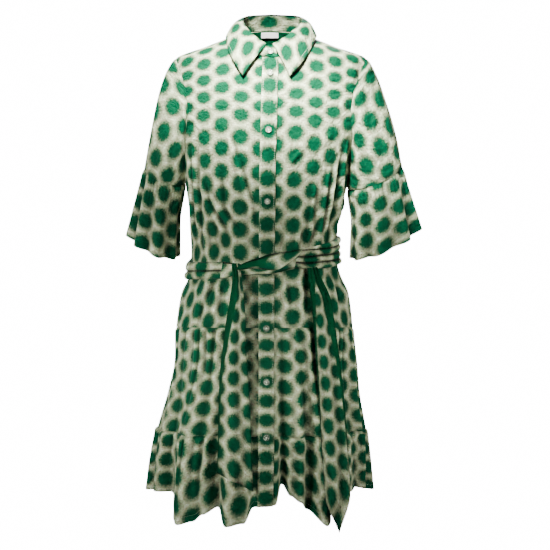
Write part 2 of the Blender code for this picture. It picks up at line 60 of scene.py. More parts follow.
# Levels on the smooth body, before the bust and the tied sash raise the front.
UNDERARM = -212
HIP_SEAM = -538
RUFFLE_SEAM = -735
HEM = -853


def table(columns, *rows):
    """A table's columns by name, each an array down the rows."""
    return {name: np.array(cells, float) for name, cells in zip(columns.split(), zip(*rows))}


# The body's rings: half widths left and right of the placket's line, depths front and back, that
# line's x, and how far the bust and the tied sash raise the front.
BODY = table(
    "level left right front back placket rise",
    (0, 64, 64, 20, 60, 0, 0),
    (-10, 91, 91, 38, 64, 0, 0),
    (-20, 117, 117, 54, 69, 0, 0),
    (-41, 171, 173, 71, 77, 0, 0),
    (-62, 178, 179, 80, 83, 0, 0),
    (-90, 179, 180, 92, 90, -1, 0),
    (-130, 176, 176, 105, 96, -2, 0),
    (-170, 168, 168, 114, 98, -3, 0),
    (-212, 158, 158, 120, 98, -4, 0),
    (-250, 154, 151, 121, 96, -5, 1),
    (-300, 148, 141, 117, 91, -5, 4),
    (-346, 143, 130, 110, 86, -6, 8),
    (-380, 141, 126, 105, 84, -6, 11),
    (-412, 142, 128, 104, 85, -6, 13),
    (-440, 144, 136, 108, 89, -7, 15),
    (-475, 160, 153, 114, 96, -7, 18),
    (-538, 171, 162, 124, 112, -7, 24),
    (-602, 175, 168, 132, 122, -7, 28),
    (-668, 187, 173, 145, 134, -7, 30),
    (-735, 205, 183, 157, 147, -7, 31),
    (-795, 217, 192, 165, 157, -8, 24),
    (-853, 222, 197, 170, 164, -9, 12),
)

# A bodice panel's rows, from the shoulder seam down to the underarm: its inner end goes round the
# neckline and down the centre line, its outer end goes round the armhole.
FRONT_ROWS = table(
    "row inner_turn inner_level outer_turn outer_level",
    (0, 90, 0, 90, -41),
    (1, 76, -0.6, 81, -42),
    (2, 52, -5, 67, -58),
    (3, 31, -16, 60, -80),
    (4, 18, -27, 56, -103),
    (5, 8, -37.5, 55.5, -128),
    (6, 0, -42, 58, -152),
    (7, 0, -76, 63, -174),
    (8, 0, -118, 71, -193),
    (9, 0, -165, 80, -206),
    (10, 0, -212, 90, -212),
)
BACK_ROWS = table(
    "row inner_turn inner_level outer_turn outer_level",
    (0, 90, 0, 90, -41),
    (1, 98, 0, 99, -42),
    (2, 116, 0, 113, -58),
    (3, 138, 0, 119, -80),
    (4, 159, 0, 121, -103),
    (5, 180, 0, 121, -128),
    (6, 180, -36, 118, -152),
    (7, 180, -78, 113, -174),
    (8, 180, -122, 106, -193),
    (9, 180, -167, 98, -206),
    (10, 180, -212, 90, -212),
)
UPPER_ROWS = 10
BODICE_ROWS = 19
NECK_ROWS = 4  # rows from the underarm up to the neckline's front
RIDGE_LEAN = 0.2  # the shoulder seam's cut edges lean together, so they start this much further apart
NECK_LEAN = 0.18  # the neck leans forward, so its back stands this much higher for each step back
NECK_LEAN_DEPTH = 100

# The skirt's folds across the front, a row for each crest and each valley: how far it stands out at
# the ruffle's seam and at the hem, and how far it raises the hem.
FRONT_FOLDS = table(
    "turn seam hem lift",
    (-90, 4, 8, 0),
    (-85, 4, 8, 0),
    (-77, -4, -9, 4),
    (-69, 3, 3, 10),
    (-58, -7, -18, 12),
    (-41, 8, 20, -27),
    (-35, 2, 12, -22),
    (-30, 5, 9, -8),
    (-24, -6, -10, 2),
    (-18, 6, 16, -24),
    (-10, -3, 2, -20),
    (-5.2, 0, 0, 12),
    (0, 0, 0, 13),
    (5.2, 0, 0, 15),
    (9.5, -7, -23, 46),
    (14, 1, -10, 26),
    (18.5, 8, 4, 18),
    (23.5, -7, -12, 0),
    (31, 8, 22, -24),
    (42, -6, -16, 8),
    (52, 3, -2, 22),
    (62, -4, -9, 20),
    (71, 4, 3, 14),
    (78, -3, -8, 6),
    (85, 4, 8, 0),
    (90, 4, 8, 0),
)
FOLD_DEEPER = 0.35  # the front's folds are so much deeper above the ruffle than the table says
BACK_WAVES = 11
BACK_CREST = (6, 15, -5)  # seam, hem and lift of the deepest crest across the back
BACK_VALLEY = (-5, -13, 4)
BACK_STRAY = 1.6  # a crest strays this many degrees from even spacing
BACK_UNEQUAL = 0.25  # and its depth varies by this share either side of the middle depth

# Pleats that the tied sash gathers above and below the waist, and presses flat beneath it.
PLEATS_ROUND = 15
PLEAT_HEIGHT = 3.6
PLEAT_LEVEL = -402
PLEAT_REACH = 75  # how far up and down they reach
SASH_REACH = 26
SASH_FLATTENS = 0.6
PLEATS_CLEAR = (6, 10)  # degrees from the placket where they start, and over which they grow
CREASES_CLEAR = (5, 8)  # the same for creases, gathers and crumples

# Swells of the cloth: how tall, how many hills and hollows go round, how high each of them is, and
# the pattern's number.
DRAWN_IN = (2.4, 64, 190, 9)  # where the sash draws the bodice in
CRUMPLE = (1.7, 30, 50, 7)  # over the loose bodice
SWING = (6.0, 44, 300, 5)  # in the skirt
RIPPLE_SHIFT = (3.6, 36, 70, 3)  # the gathers' ripples stray by these angles, in radians
RIPPLE_STRENGTH = (0.5, 24, 400, 4)  # and their height varies by these shares

# Gathers under a seam: ripples round, their height, and the distance over which they fade.
TIER_GATHERS = (50, 3.6, 95)
RUFFLE_GATHERS = (62, 3.8, 60)
GATHERS_FULL = 9  # they are full this far below the stitches
RUFFLE_PUFF = 3.2  # the ruffle puffs out this much under its seam
PUFF_FADE = (7, 26)  # full this far below the stitches, and fading over the second distance

# Creases in the bodice, from one end to the other, with the width and height of each: the cloth
# hangs from the bust to the sash in slanting drags, and spreads again below it.
CREASES = table(
    "x z to_x to_z width height",
    (-75, -172, -59, -222, 5, 2.4),
    (-60, -212, -36, -300, 5.5, 3.0),
    (-38, -280, -30, -352, 6, 2.0),
    (-128, -252, -107, -312, 6, 3.0),
    (-110, -300, -80, -356, 6, 2.6),
    (-121, -268, -57, -350, 7, 3.0),
    (-96, -225, -88, -335, 8, 2.2),
    (-137, -165, -131, -376, 6, 3.2),
    (-148, -190, -141, -370, 5, 2.4),
    (-118, -330, -112, -398, 6, 3.0),
    (138, -168, 120, -372, 6, 3.6),
    (122, -195, 98, -372, 6, 3.4),
    (107, -212, 84, -376, 6, 3.2),
    (80, -246, 69, -380, 6, 2.6),
    (92, -300, 60, -384, 6, 2.2),
    (62, -196, 28, -228, 5, 2.0),
    (52, -330, 44, -384, 6, 1.8),
    (-106, -430, -128, -474, 6, 3.2),
    (-126, -466, -138, -520, 6, 2.4),
    (-70, -432, -80, -514, 7, 2.4),
    (-92, -434, -104, -500, 6, 2.6),
    (131, -430, 145, -518, 6, 3.2),
    (112, -428, 122, -500, 6, 2.4),
    (53, -424, 58, -506, 6, 2.6),
    (82, -426, 92, -500, 7, 2.4),
    (-30, -432, -34, -492, 6, 1.8),
    (24, -426, 30, -490, 6, 1.8),
)
CREASE_DEPTH = 1.35  # the creases are so much deeper than the table says
CREASE_NARROW = 0.7  # and so much narrower
CREASE_TAPER = 0.35  # the share of its length over which a crease dies out at each end
CREASE_TROUGH = 0.8  # its trough's depth for each height of its ridge


def slopes_of(xs, ys):
    """Slopes that carry a smooth curve through the points without overshooting them."""
    steps = np.diff(xs)
    rates = np.diff(ys) / steps
    slopes = np.zeros(len(xs))
    slopes[0], slopes[-1] = rates[0], rates[-1]
    before, after = rates[:-1], rates[1:]
    one_way = before * after > 0
    near, far = 2 * steps[1:] + steps[:-1], steps[1:] + 2 * steps[:-1]
    safe_before, safe_after = np.where(one_way, before, 1), np.where(one_way, after, 1)
    slopes[1:-1] = np.where(one_way, (near + far) / (near / safe_before + far / safe_after), 0)
    return slopes


def curve(start, end, leave, arrive, t):
    """A smooth curve from start to end, by the slopes at which it leaves and arrives."""
    first = start * (1 + 2 * t) + leave * t
    last = end * (3 - 2 * t) - arrive * (1 - t)
    return first * (1 - t) ** 2 + last * t**2


def read(source, column, at):
    """A table's column at places in its first column, on a smooth curve through the rows."""
    xs, ys = next(iter(source.values())), source[column]
    if xs[0] > xs[-1]:
        xs, ys = xs[::-1], ys[::-1]
    slopes = slopes_of(xs, ys)
    at = np.clip(np.asarray(at, float), xs[0], xs[-1])
    k = np.clip(np.searchsorted(xs, at, side="right") - 1, 0, len(xs) - 2)
    step = xs[k + 1] - xs[k]
    return curve(ys[k], ys[k + 1], slopes[k] * step, slopes[k + 1] * step, (at - xs[k]) / step)


def ease(t):
    t = np.clip(t, 0, 1)
    return t * t * (3 - 2 * t)


def blend(a, b, t):
    return a * (1 - t) + b * t


def bell(t):
    """1 at 0, fading on both sides."""
    return np.exp(-(t**2))


def skirt_folds():
    """The front's folds and then the back's, from -90 to 270 degrees."""
    rows = list(zip(*FRONT_FOLDS.values()))
    halves = 2 * BACK_WAVES
    for k in range(1, halves):
        turn = 90 + 180 * k / halves + BACK_STRAY * math.sin(2.3 * k)
        strength = 1 - BACK_UNEQUAL + BACK_UNEQUAL * math.sin(1.9 * k + 0.6)
        size = BACK_CREST if k % 2 else BACK_VALLEY
        beside_seam = k in (1, halves - 1)
        values = rows[0][1:] if beside_seam else [strength * value for value in size]
        rows.append((turn, *values))
    rows.append((270, *rows[0][1:]))
    return table("turn seam hem lift", *rows)


FOLDS = skirt_folds()


def fold_value(column, turn):
    """A fold column at a turn, eased from each crest to the next valley."""
    turn = (turn + 90) % 360 - 90
    k = np.clip(np.searchsorted(FOLDS["turn"], turn, side="right") - 1, 0, len(FOLDS["turn"]) - 2)
    along = (turn - FOLDS["turn"][k]) / (FOLDS["turn"][k + 1] - FOLDS["turn"][k])
    return blend(FOLDS[column][k], FOLDS[column][k + 1], ease(along))


def share_between(start, end, level):
    return np.clip((start - level) / (start - end), 0, 1)


SCATTER = (12.9898, 78.233, 37.719, 43758.5453)  # scatters the heights of the hills and hollows


def unevenness(turn, height, hills_round, hill_height, seed):
    """Smooth uneven heights from -1 to 1, with so many hills and hollows round and each so tall."""
    across = (np.asarray(turn, float) % 360) / 360 * hills_round
    up = np.asarray(height, float) / hill_height
    across, up = np.broadcast_arrays(across, up)
    column, row = np.floor(across), np.floor(up)
    share_across, share_up = ease(across - column), ease(up - row)
    total = np.zeros(across.shape)
    for right in (0, 1):
        for above in (0, 1):
            spot = ((column + right) % hills_round) * SCATTER[0] + (row + above) * SCATTER[1]
            hill = 2 * np.modf(np.abs(np.sin(spot + seed * SCATTER[2])) * SCATTER[3])[0] - 1
            weight_across = share_across if right else 1 - share_across
            weight_up = share_up if above else 1 - share_up
            total = total + hill * (weight_across * weight_up)
    return total


def swell(pattern, turn, height, other=0):
    """How far the cloth swells at a place by a pattern, or by the other one of a pair."""
    tall, hills_round, hill_height, number = pattern
    return tall * unevenness(turn, height, hills_round, hill_height, number + other)


def under_seam(below, full, fade):
    """Nothing at a seam's stitches, 1 where the cloth is full below them, and fading from there."""
    return ease(below / full) * np.exp(-np.maximum(below, 0) / fade)


def gathered(turn, below, ripples, height, fade):
    """Fine ripples so far below a gathered seam."""
    wave = np.cos(np.radians(ripples * turn) + swell(RIPPLE_SHIFT, turn, below))
    strength = 0.7 + swell(RIPPLE_STRENGTH, turn, below)
    return height * strength * under_seam(below, GATHERS_FULL, fade) * wave


def creased(x, z):
    """The bodice's creases: each a soft ridge with a trough along one side."""
    total = 0
    for start_x, start_z, end_x, end_z, width, height in zip(*CREASES.values()):
        length = math.hypot(end_x - start_x, end_z - start_z)
        along_x, along_z = (end_x - start_x) / length, (end_z - start_z) / length
        along = ((x - start_x) * along_x + (z - start_z) * along_z) / length
        across = ((x - start_x) * along_z - (z - start_z) * along_x) / (width * CREASE_NARROW)
        taper = ease(along / CREASE_TAPER) * ease((1 - along) / CREASE_TAPER)
        total = total + height * taper * (bell(across) - CREASE_TROUGH * bell(across + 1.5))
    return CREASE_DEPTH * total


def half_width(to_right, level):
    """The smooth body's half width at a level, to the viewer's right or left of the placket's line."""
    return np.where(to_right, read(BODY, "right", level), read(BODY, "left", level))


def front_rise(angle, level):
    """How far the bust and the tied sash raise a place, most at the centre front."""
    return read(BODY, "rise", level) * np.maximum(0, np.cos(angle))


def clear_of_placket(turn, start, over):
    """0 within so many degrees of the centre front, growing to 1 over so many more."""
    return ease((np.abs(turn) - start) / over)


def standing_out(turn, level):
    """How far the cloth stands out from the smooth body, through its pleats, folds and creases. The
    back has the front's creases, mirrored."""
    from_pleats = level - PLEAT_LEVEL
    near_waist = bell(from_pleats / PLEAT_REACH) - SASH_FLATTENS * bell(from_pleats / SASH_REACH)
    wave = np.cos(np.radians(PLEATS_ROUND * turn))
    pleats = PLEAT_HEIGHT * near_waist * clear_of_placket(turn, *PLEATS_CLEAR) * wave
    tier = ease(share_between(HIP_SEAM, RUFFLE_SEAM, level))
    ruffle = share_between(RUFFLE_SEAM, HEM, level)
    deeper = 1 + FOLD_DEEPER * ease((80 - np.abs(turn)) / 20) * (1 - ruffle)
    folds = deeper * tier * blend(fold_value("seam", turn), fold_value("hem", turn), ruffle)

    angle = np.radians(turn)
    facing = np.where(np.abs(turn) < 90, 1, -1)
    x = facing * (read(BODY, "placket", level) + half_width(turn > 0, level) * np.sin(angle))
    above_hip = level - HIP_SEAM
    under_sash = 1 - bell((from_pleats + 10) / 24)
    clear = clear_of_placket(turn, *CREASES_CLEAR)
    at_side = ease((90 - np.abs(np.abs(turn) - 90)) / 90 * 3)
    creases = creased(x, level + front_rise(angle, level)) * under_sash * clear * ease(above_hip / 12)
    drawn_in = swell(DRAWN_IN, turn, level) * near_waist * clear
    crumple = swell(CRUMPLE, turn, level) * ease(-level / 80) * ease(above_hip / 30)
    loose = crumple * under_sash * (1 - 0.6 * at_side)

    below_hip, below_ruffle = HIP_SEAM - level, RUFFLE_SEAM - level
    gathers = gathered(turn, below_hip, *TIER_GATHERS) + gathered(turn, below_ruffle, *RUFFLE_GATHERS)
    puff = RUFFLE_PUFF * under_seam(below_ruffle, *PUFF_FADE)
    swing = swell(SWING, turn, level) * ease(below_hip / 80)
    return pleats + folds + creases + drawn_in + loose + clear * (gathers + puff + swing)


def body(turn, level, off=0.0, bare=False):
    """The point of the dress's outer face at a turn and a level, or off millimetres out from it."""
    turn, level = np.broadcast_arrays(np.asarray(turn, float), np.asarray(level, float))
    turn = (turn + 180) % 360 - 180
    angle = np.radians(turn)
    width = half_width(turn > 0, level)
    depth = np.where(np.abs(turn) < 90, read(BODY, "front", level), read(BODY, "back", level))
    out_x, out_y = np.sin(angle) / width, -np.cos(angle) / depth
    off = (off + (0 if bare else standing_out(turn, level))) / np.hypot(out_x, out_y)
    x = read(BODY, "placket", level) + width * np.sin(angle) + off * out_x
    y = -depth * np.cos(angle) + off * out_y
    lift = fold_value("lift", turn) * share_between(RUFFLE_SEAM, HEM, level)
    lean = NECK_LEAN * np.maximum(0, y) * ease(1 + level / NECK_LEAN_DEPTH)
    return x, y, level + front_rise(angle, level) + lift + lean


def turn_at(x, level):
    """The turn on the front where the smooth body has this x."""
    reach = x - read(BODY, "placket", level)
    return np.degrees(np.arcsin(np.clip(reach / half_width(reach > 0, level), -1, 1)))


def bodice_edge(rows, row, end):
    """The turn and level of a bodice row's inner or outer end."""
    lower = np.clip((row - UPPER_ROWS) / (BODICE_ROWS - UPPER_ROWS), 0, 1)
    upper_level, lower_level = read(rows, end + "_level", row), blend(UNDERARM, HIP_SEAM + SEAM, lower)
    return read(rows, end + "_turn", row), np.where(row < UPPER_ROWS, upper_level, lower_level)


def bodice_place(rows, row, outward):
    """The turn and level in a bodice panel, where outward runs from 0 at the neckline or the centre
    line to 1 at the armhole or the side seam."""
    inner_turn, inner_level = bodice_edge(rows, row, "inner")
    outer_turn, outer_level = bodice_edge(rows, row, "outer")
    return blend(inner_turn, outer_turn, outward), blend(inner_level, outer_level, outward)


def bodice(rows, row, outward, side):
    """The point of a bodice panel at a row and a share outward, clear of the pieces beside it."""
    turn, level = bodice_place(rows, row, outward)
    x, y, z = body(side * turn, level)
    apart = SEAM / 2 + RIDGE_LEAN * (row <= 0)
    if rows is BACK_ROWS:
        return x, y + apart, z
    at_centre = (outward == 0) * (row > UPPER_ROWS - NECK_ROWS - 0.5)
    return x + 2 * side * SEAM * at_centre, y - apart, z


# The cloth's own flat map, which the print follows: along, the true distance round from the middle
# of the panel; down, the distance along the grain from the neck. It is measured on the smooth body.
MAP_TURN_STEP = 1.5
MAP_LEVEL_STEP = -2
SASH_FULLNESS = table(
    "level share", (0, 0), (-215, 0), (-300, 0.18), (-390, 0.55), (-440, 0.5), (-538, 0.2)
)
FULL_BEYOND = 42  # the sash gathers the cloth only this far out from the panel's middle
YOKE = table("level more", (0, 47), (-125, 7), (-150, 0.8), (-175, 0), (-538, 0))  # eased in over the bust
STRAIGHT = 0.8  # how far the rows of dots keep level across a panel
STRAIGHT_BY = 120  # in full this far below the neck


def cut_map(first, last):
    """Along and down over a grid of turns from first to last and levels from the neck to the hip."""
    count = round(abs(last - first) / MAP_TURN_STEP) + 1
    levels = np.arange(0, HIP_SEAM + MAP_LEVEL_STEP, MAP_LEVEL_STEP)
    points = np.stack(body(*np.meshgrid(np.linspace(first, last, count), levels), bare=True), axis=-1)
    along = np.zeros(points.shape[:2])
    along[:, 1:] = np.cumsum(np.linalg.norm(np.diff(points, axis=1), axis=2), axis=1)
    down = np.zeros(points.shape[:2])
    for row in range(1, len(levels)):
        above = [np.interp(along[row], along[row - 1], points[row - 1, :, k]) for k in range(3)]
        sideways = np.maximum(0, along[row] - along[row - 1, -1])
        distance = np.linalg.norm(points[row] - np.column_stack(above), axis=1)
        step = np.sqrt(np.maximum(distance**2 - sideways**2, 0))
        down[row] = np.interp(along[row], along[row - 1], down[row - 1]) + step
    return along, down


def read_map(grid, turn, level):
    """A grid of the map at a turn, counted from its first column, and a level."""
    column = np.clip(turn / MAP_TURN_STEP, 0, grid.shape[1] - 1.001)
    row = np.clip(level / MAP_LEVEL_STEP, 0, grid.shape[0] - 1.001)
    k, j = np.floor(column).astype(int), np.floor(row).astype(int)
    upper = blend(grid[j, k], grid[j, k + 1], column - k)
    lower = blend(grid[j + 1, k], grid[j + 1, k + 1], column - k)
    return blend(upper, lower, row - j)


PANEL_MAPS = {
    ("front", -1): cut_map(-0.001, -90),
    ("front", 1): cut_map(0.001, 90),
    ("back", -1): cut_map(-179.999, -90),
    ("back", 1): cut_map(179.999, 90),
}


def bodice_map(panel, side, turn, level):
    """Where a point of a bodice panel lies on the flat cloth, at a turn's size from 0 to 180."""
    along_grid, down_grid = PANEL_MAPS[panel, side]
    from_middle = turn if panel == "front" else 180 - turn
    along = read_map(along_grid, from_middle, level)
    full = read(SASH_FULLNESS, "share", level) * np.maximum(0, along - FULL_BEYOND) ** 2 / (along + 1)
    eased_in = read(YOKE, "more", level) if panel == "front" else 0
    here, in_middle = (read_map(down_grid, spot, level) for spot in (from_middle, 0 * from_middle))
    down = blend(here, in_middle, STRAIGHT * ease(-level / STRAIGHT_BY))
    return side * (along + full), eased_in - down


def set_inputs(tree, made, inputs):
    """Sets a node's inputs to numbers, or links them to other nodes' outputs."""
    for name, value in dict(inputs).items():
        if isinstance(value, bpy.types.NodeSocket):
            tree.links.new(value, made.inputs[name])
        else:
            made.inputs[name].default_value = value


def node(tree, kind, inputs=(), **settings):
    """A shader node with its settings and inputs."""
    made = tree.nodes.new(kind)
    for setting, value in settings.items():
        setattr(made, setting, value)
    set_inputs(tree, made, inputs)
    return made


def sums(tree, operation, *values):
    """The output of a Math node on numbers or outputs."""
    return node(tree, "ShaderNodeMath", enumerate(values), operation=operation).outputs[0]


def vectors(tree, operation, *values):
    """The output of a Vector Math node: a vector, but a number for LENGTH."""
    made = node(tree, "ShaderNodeVectorMath", enumerate(values), operation=operation)
    return made.outputs["Value" if operation == "LENGTH" else "Vector"]


def noise(tree, place, scale, detail=2, roughness=0.5, output="Fac", **settings):
    """An output of a Noise Texture at a place."""
    inputs = {"Vector": place, "Scale": scale, "Detail": detail, "Roughness": roughness}
    return node(tree, "ShaderNodeTexNoise", inputs, **settings).outputs[output]


def ranged(tree, value, spread, to, kind="LINEAR"):
    """A value that is spread between two numbers, carried to between two others."""
    inputs = {"Value": value, "From Min": spread[0], "From Max": spread[1], "To Min": to[0], "To Max": to[1]}
    return node(tree, "ShaderNodeMapRange", inputs, interpolation_type=kind).outputs[0]


def mixed(tree, share, first, second, kind="MIX"):
    """A colour with a share of a second one mixed in, or multiplied in."""
    inputs = {0: share, 6: first, 7: second}
    return node(tree, "ShaderNodeMix", inputs, data_type="RGBA", blend_type=kind).outputs[2]


def relief(tree, height, strength, distance, **inputs):
    """A surface's normal, with a height's relief on it up to a distance in millimetres."""
    inputs |= {"Height": height, "Strength": strength, "Distance": distance * MM}
    return node(tree, "ShaderNodeBump", inputs).outputs["Normal"]


def new_group(name, **outputs):
    """A node group with outputs of the kinds given, and its input, a place on the flat cloth in metres."""
    tree = bpy.data.node_groups.new(name, "ShaderNodeTree")
    tree.interface.new_socket(name="Place", in_out="INPUT", socket_type="NodeSocketVector")
    for output, kind in outputs.items():
        tree.interface.new_socket(name=output, in_out="OUTPUT", socket_type="NodeSocket" + kind)
    return tree, node(tree, "NodeGroupInput").outputs["Place"]


def new_material(name):
    """A material, its node tree and its Principled shader."""
    made = bpy.data.materials.new(name)
    made.use_nodes = True
    return made, made.node_tree, made.node_tree.nodes["Principled BSDF"]


def paint(red, green, blue):
    """A colour as a shader needs it, from the 0 to 255 that a paint chart gives."""
    shares = [value / 255 for value in (red, green, blue)]
    return (*[s / 12.92 if s <= 0.04045 else ((s + 0.055) / 1.055) ** 2.4 for s in shares], 1)


# The print: one column of dots every 35 mm, a dot every 41 mm down it, and each second column set
# half a step lower. The dots' dye bleeds into the yarns at their edges, and the ground is palest
# midway between them, with darker yarns showing in it.
COLUMN_STEP = 35
DOT_STEP = 41
DOT_WANDER = 3.5  # how far a dot strays out of true
DYE_SPAN = (10.5, 21)  # the dye fades out between these distances from a dot's middle
PALE_SPAN = (19, 23.5)  # and the ground turns pale between these
PALE_SHARE = 0.7
BLEED_YARNS = 14  # the dye's reach varies this much with the yarns
BLEED_TUFTS = 8  # and this much with the tufts
YARN_RUNS = ((110, 520, 1), (520, 110, 1))  # the yarns' unevenness for each metre, either way
YARN_SPECKLE = (0.44, 0.64)  # a yarn turns dark where its unevenness is between these
DOT_GREEN = paint(0, 78, 48)
DOT_GREEN_DEEP = paint(0, 56, 36)
GROUND = paint(181, 194, 152)
GROUND_YARN = paint(142, 137, 107)
GROUND_LIGHT = paint(235, 246, 212)
REVERSE_GREEN = paint(0, 68, 38)


def dotted_print_group():
    """The print as a group: its colour at a place."""
    tree, place = new_group("dotted_print", Colour="Color")
    wander = vectors(tree, "SUBTRACT", noise(tree, place, 38, output="Color"), (0.5, 0.5, 0.5))
    shifted = vectors(tree, "MULTIPLY_ADD", wander, (DOT_WANDER * MM, DOT_WANDER * MM, 0), place)
    half = (COLUMN_STEP * MM, DOT_STEP / 2 * MM, 1)
    distances = []
    for start in ((0, 0, 0), half):
        moved = vectors(tree, "ADD", shifted, start)
        cell = vectors(tree, "WRAP", moved, half, tuple(-h for h in half))
        distances.append(vectors(tree, "LENGTH", vectors(tree, "MULTIPLY", cell, (1, 1, 0))))
    streaks = [noise(tree, vectors(tree, "MULTIPLY", place, run), 1, 1) for run in YARN_RUNS]
    yarns = sums(tree, "MULTIPLY", sums(tree, "ADD", *streaks), 0.5)
    tufts = noise(tree, place, 300)
    by_yarns = sums(tree, "MULTIPLY", yarns, BLEED_YARNS * MM)
    by_tufts = sums(tree, "MULTIPLY", tufts, BLEED_TUFTS * MM)
    middle = (BLEED_YARNS + BLEED_TUFTS) / 2 * MM
    uneven = sums(tree, "SUBTRACT", sums(tree, "ADD", by_yarns, by_tufts), middle)
    bleed = sums(tree, "ADD", sums(tree, "MINIMUM", *distances), uneven)
    dye = ranged(tree, bleed, [reach * MM for reach in DYE_SPAN], (1, 0), "SMOOTHSTEP")
    pale = ranged(tree, bleed, [reach * MM for reach in PALE_SPAN], (0, PALE_SHARE), "SMOOTHSTEP")
    ground = mixed(tree, pale, GROUND, GROUND_LIGHT)
    ground = mixed(tree, ranged(tree, yarns, YARN_SPECKLE, (0, 1)), ground, GROUND_YARN)
    green = mixed(tree, tufts, DOT_GREEN_DEEP, DOT_GREEN)
    node(tree, "NodeGroupOutput", {"Colour": mixed(tree, dye, ground, green)})
    return tree


def weave_group():
    """The cloth's surface as a group: slightly uneven crossed yarns, as a height, and a grey."""
    tree, place = new_group("viscose_weave", Height="Float", Unevenness="Float")
    inputs = {"Vector": place, "Scale": 330, "Distortion": 1.2, "Detail": 1, "Detail Scale": 0.6}
    yarns = [node(tree, "ShaderNodeTexWave", inputs, bands_direction=way).outputs["Fac"] for way in "XY"]
    slub = noise(tree, place, 240, 3)
    height = sums(tree, "MULTIPLY_ADD", sums(tree, "MAXIMUM", *yarns), 0.4, sums(tree, "MULTIPLY", slub, 0.9))
    node(tree, "NodeGroupOutput", {"Height": height, "Unevenness": slub})
    return tree


DOTTED_PRINT = dotted_print_group()
WEAVE = weave_group()
CLOTH_ROUGHNESS = (0.45, 0.67)  # with the weave's unevenness
WEAVE_SHADE = (0.86, 1.12)  # the same for its shade
CRUMPLE_SPAN = (0.6, 1.9)  # the fine crumples' height between its hollows and its ridges
# Painted shade in the fine crumples' hollows and painted highlight on their ridges, as shares of the colour.
CRUMPLE_SHADE = (0.72, 1.16)
CRUMPLE_RELIEF = 9
FOLD_DEEPEST = 1.8  # the fold attribute runs from minus this, painted darkest as shade in a hollow, to 1, painted lightest on a ridge
# The fold attribute's painted shade and painted highlight, as shares of the colour.
FOLD_SHADE = (0.05, 1.3)


def cloth_material(name, printed):
    """The cloth's printed face or its plain reverse. Where a piece's "reverse" attribute is 1, the
    reverse has been turned to the front. Its "fold" attribute paints shade into hollows and a
    highlight onto ridges, and the fine crumples get painted shade in their hollows too."""
    made, tree, shader = new_material(name)
    place = node(tree, "ShaderNodeUVMap", uv_map="cloth").outputs["UV"]
    weave = node(tree, "ShaderNodeGroup", {"Place": place}, node_tree=WEAVE).outputs
    shade = ranged(tree, weave["Unevenness"], (0, 1), WEAVE_SHADE)
    colour = mixed(tree, 1, REVERSE_GREEN, shade, "MULTIPLY")
    if printed:
        dots = node(tree, "ShaderNodeGroup", {"Place": place}, node_tree=DOTTED_PRINT).outputs["Colour"]
        turned = node(tree, "ShaderNodeAttribute", attribute_name="reverse").outputs["Fac"]
        colour = mixed(tree, turned, dots, colour)
    crease = noise(tree, place, 24, 4, 0.55, noise_type="RIDGED_MULTIFRACTAL")
    crushed = sums(tree, "MULTIPLY_ADD", crease, 1.5, noise(tree, place, 105, 4, 0.6))
    fold = node(tree, "ShaderNodeAttribute", attribute_name="fold").outputs["Fac"]
    in_folds = ranged(tree, fold, (-FOLD_DEEPEST, 1), FOLD_SHADE)
    # Painted shade in the crumples' and the folds' hollows, and painted highlight on their ridges, multiplied
    # into the colour.
    painted_shading = sums(tree, "MULTIPLY", ranged(tree, crushed, CRUMPLE_SPAN, CRUMPLE_SHADE), in_folds)
    crumpled = relief(tree, crushed, 1, CRUMPLE_RELIEF)
    surface = {
        "Base Color": mixed(tree, 1, colour, painted_shading, "MULTIPLY"),
        "Normal": relief(tree, weave["Height"], 0.4, 0.3, Normal=crumpled),
        "Roughness": ranged(tree, weave["Unevenness"], (0, 1), CLOTH_ROUGHNESS),
        "Sheen Weight": 0.004,
        "Sheen Roughness": 0.45,
        "Specular IOR Level": 0.02,
    }
    set_inputs(tree, shader, surface)
    return made


PRINTED_FACE = cloth_material("printed_viscose", True)
PLAIN_REVERSE = cloth_material("plain_reverse", False)


FOLD_REACH = 9  # a fold is told from the cloth this far on each side of it
FOLD_FULL = 1.6  # a ridge or hollow this high or deep counts in full


def averaged(values, reach, axis):
    """The values, each replaced by the mean of its neighbours within so many steps along an axis."""
    padding = [(reach + 1, reach) if k == axis else (0, 0) for k in range(values.ndim)]
    sums_up = np.cumsum(np.pad(values, padding, mode="edge"), axis=axis)
    count = values.shape[axis]
    ahead = np.take(sums_up, range(2 * reach + 1, 2 * reach + 1 + count), axis)
    return (ahead - np.take(sums_up, range(count), axis)) / (2 * reach + 1)


def fold_height(points, across, up):
    """From -1 in the hollow of a fold to 1 on its ridge, at the corners of a grid."""
    grid = points.reshape(up + 1, across + 1, 3)
    smooth = grid
    for axis in (0, 1):
        step = np.median(np.linalg.norm(np.diff(grid, axis=axis), axis=2))
        smooth = averaged(smooth, max(1, round(FOLD_REACH / max(step, 0.3))), axis)
    outward = np.cross(np.gradient(smooth, axis=1), np.gradient(smooth, axis=0))
    outward /= np.maximum(np.linalg.norm(outward, axis=2), 1e-9)[..., None]
    return np.clip(((grid - smooth) * outward).sum(axis=2) / FOLD_FULL, -1, 1).ravel()


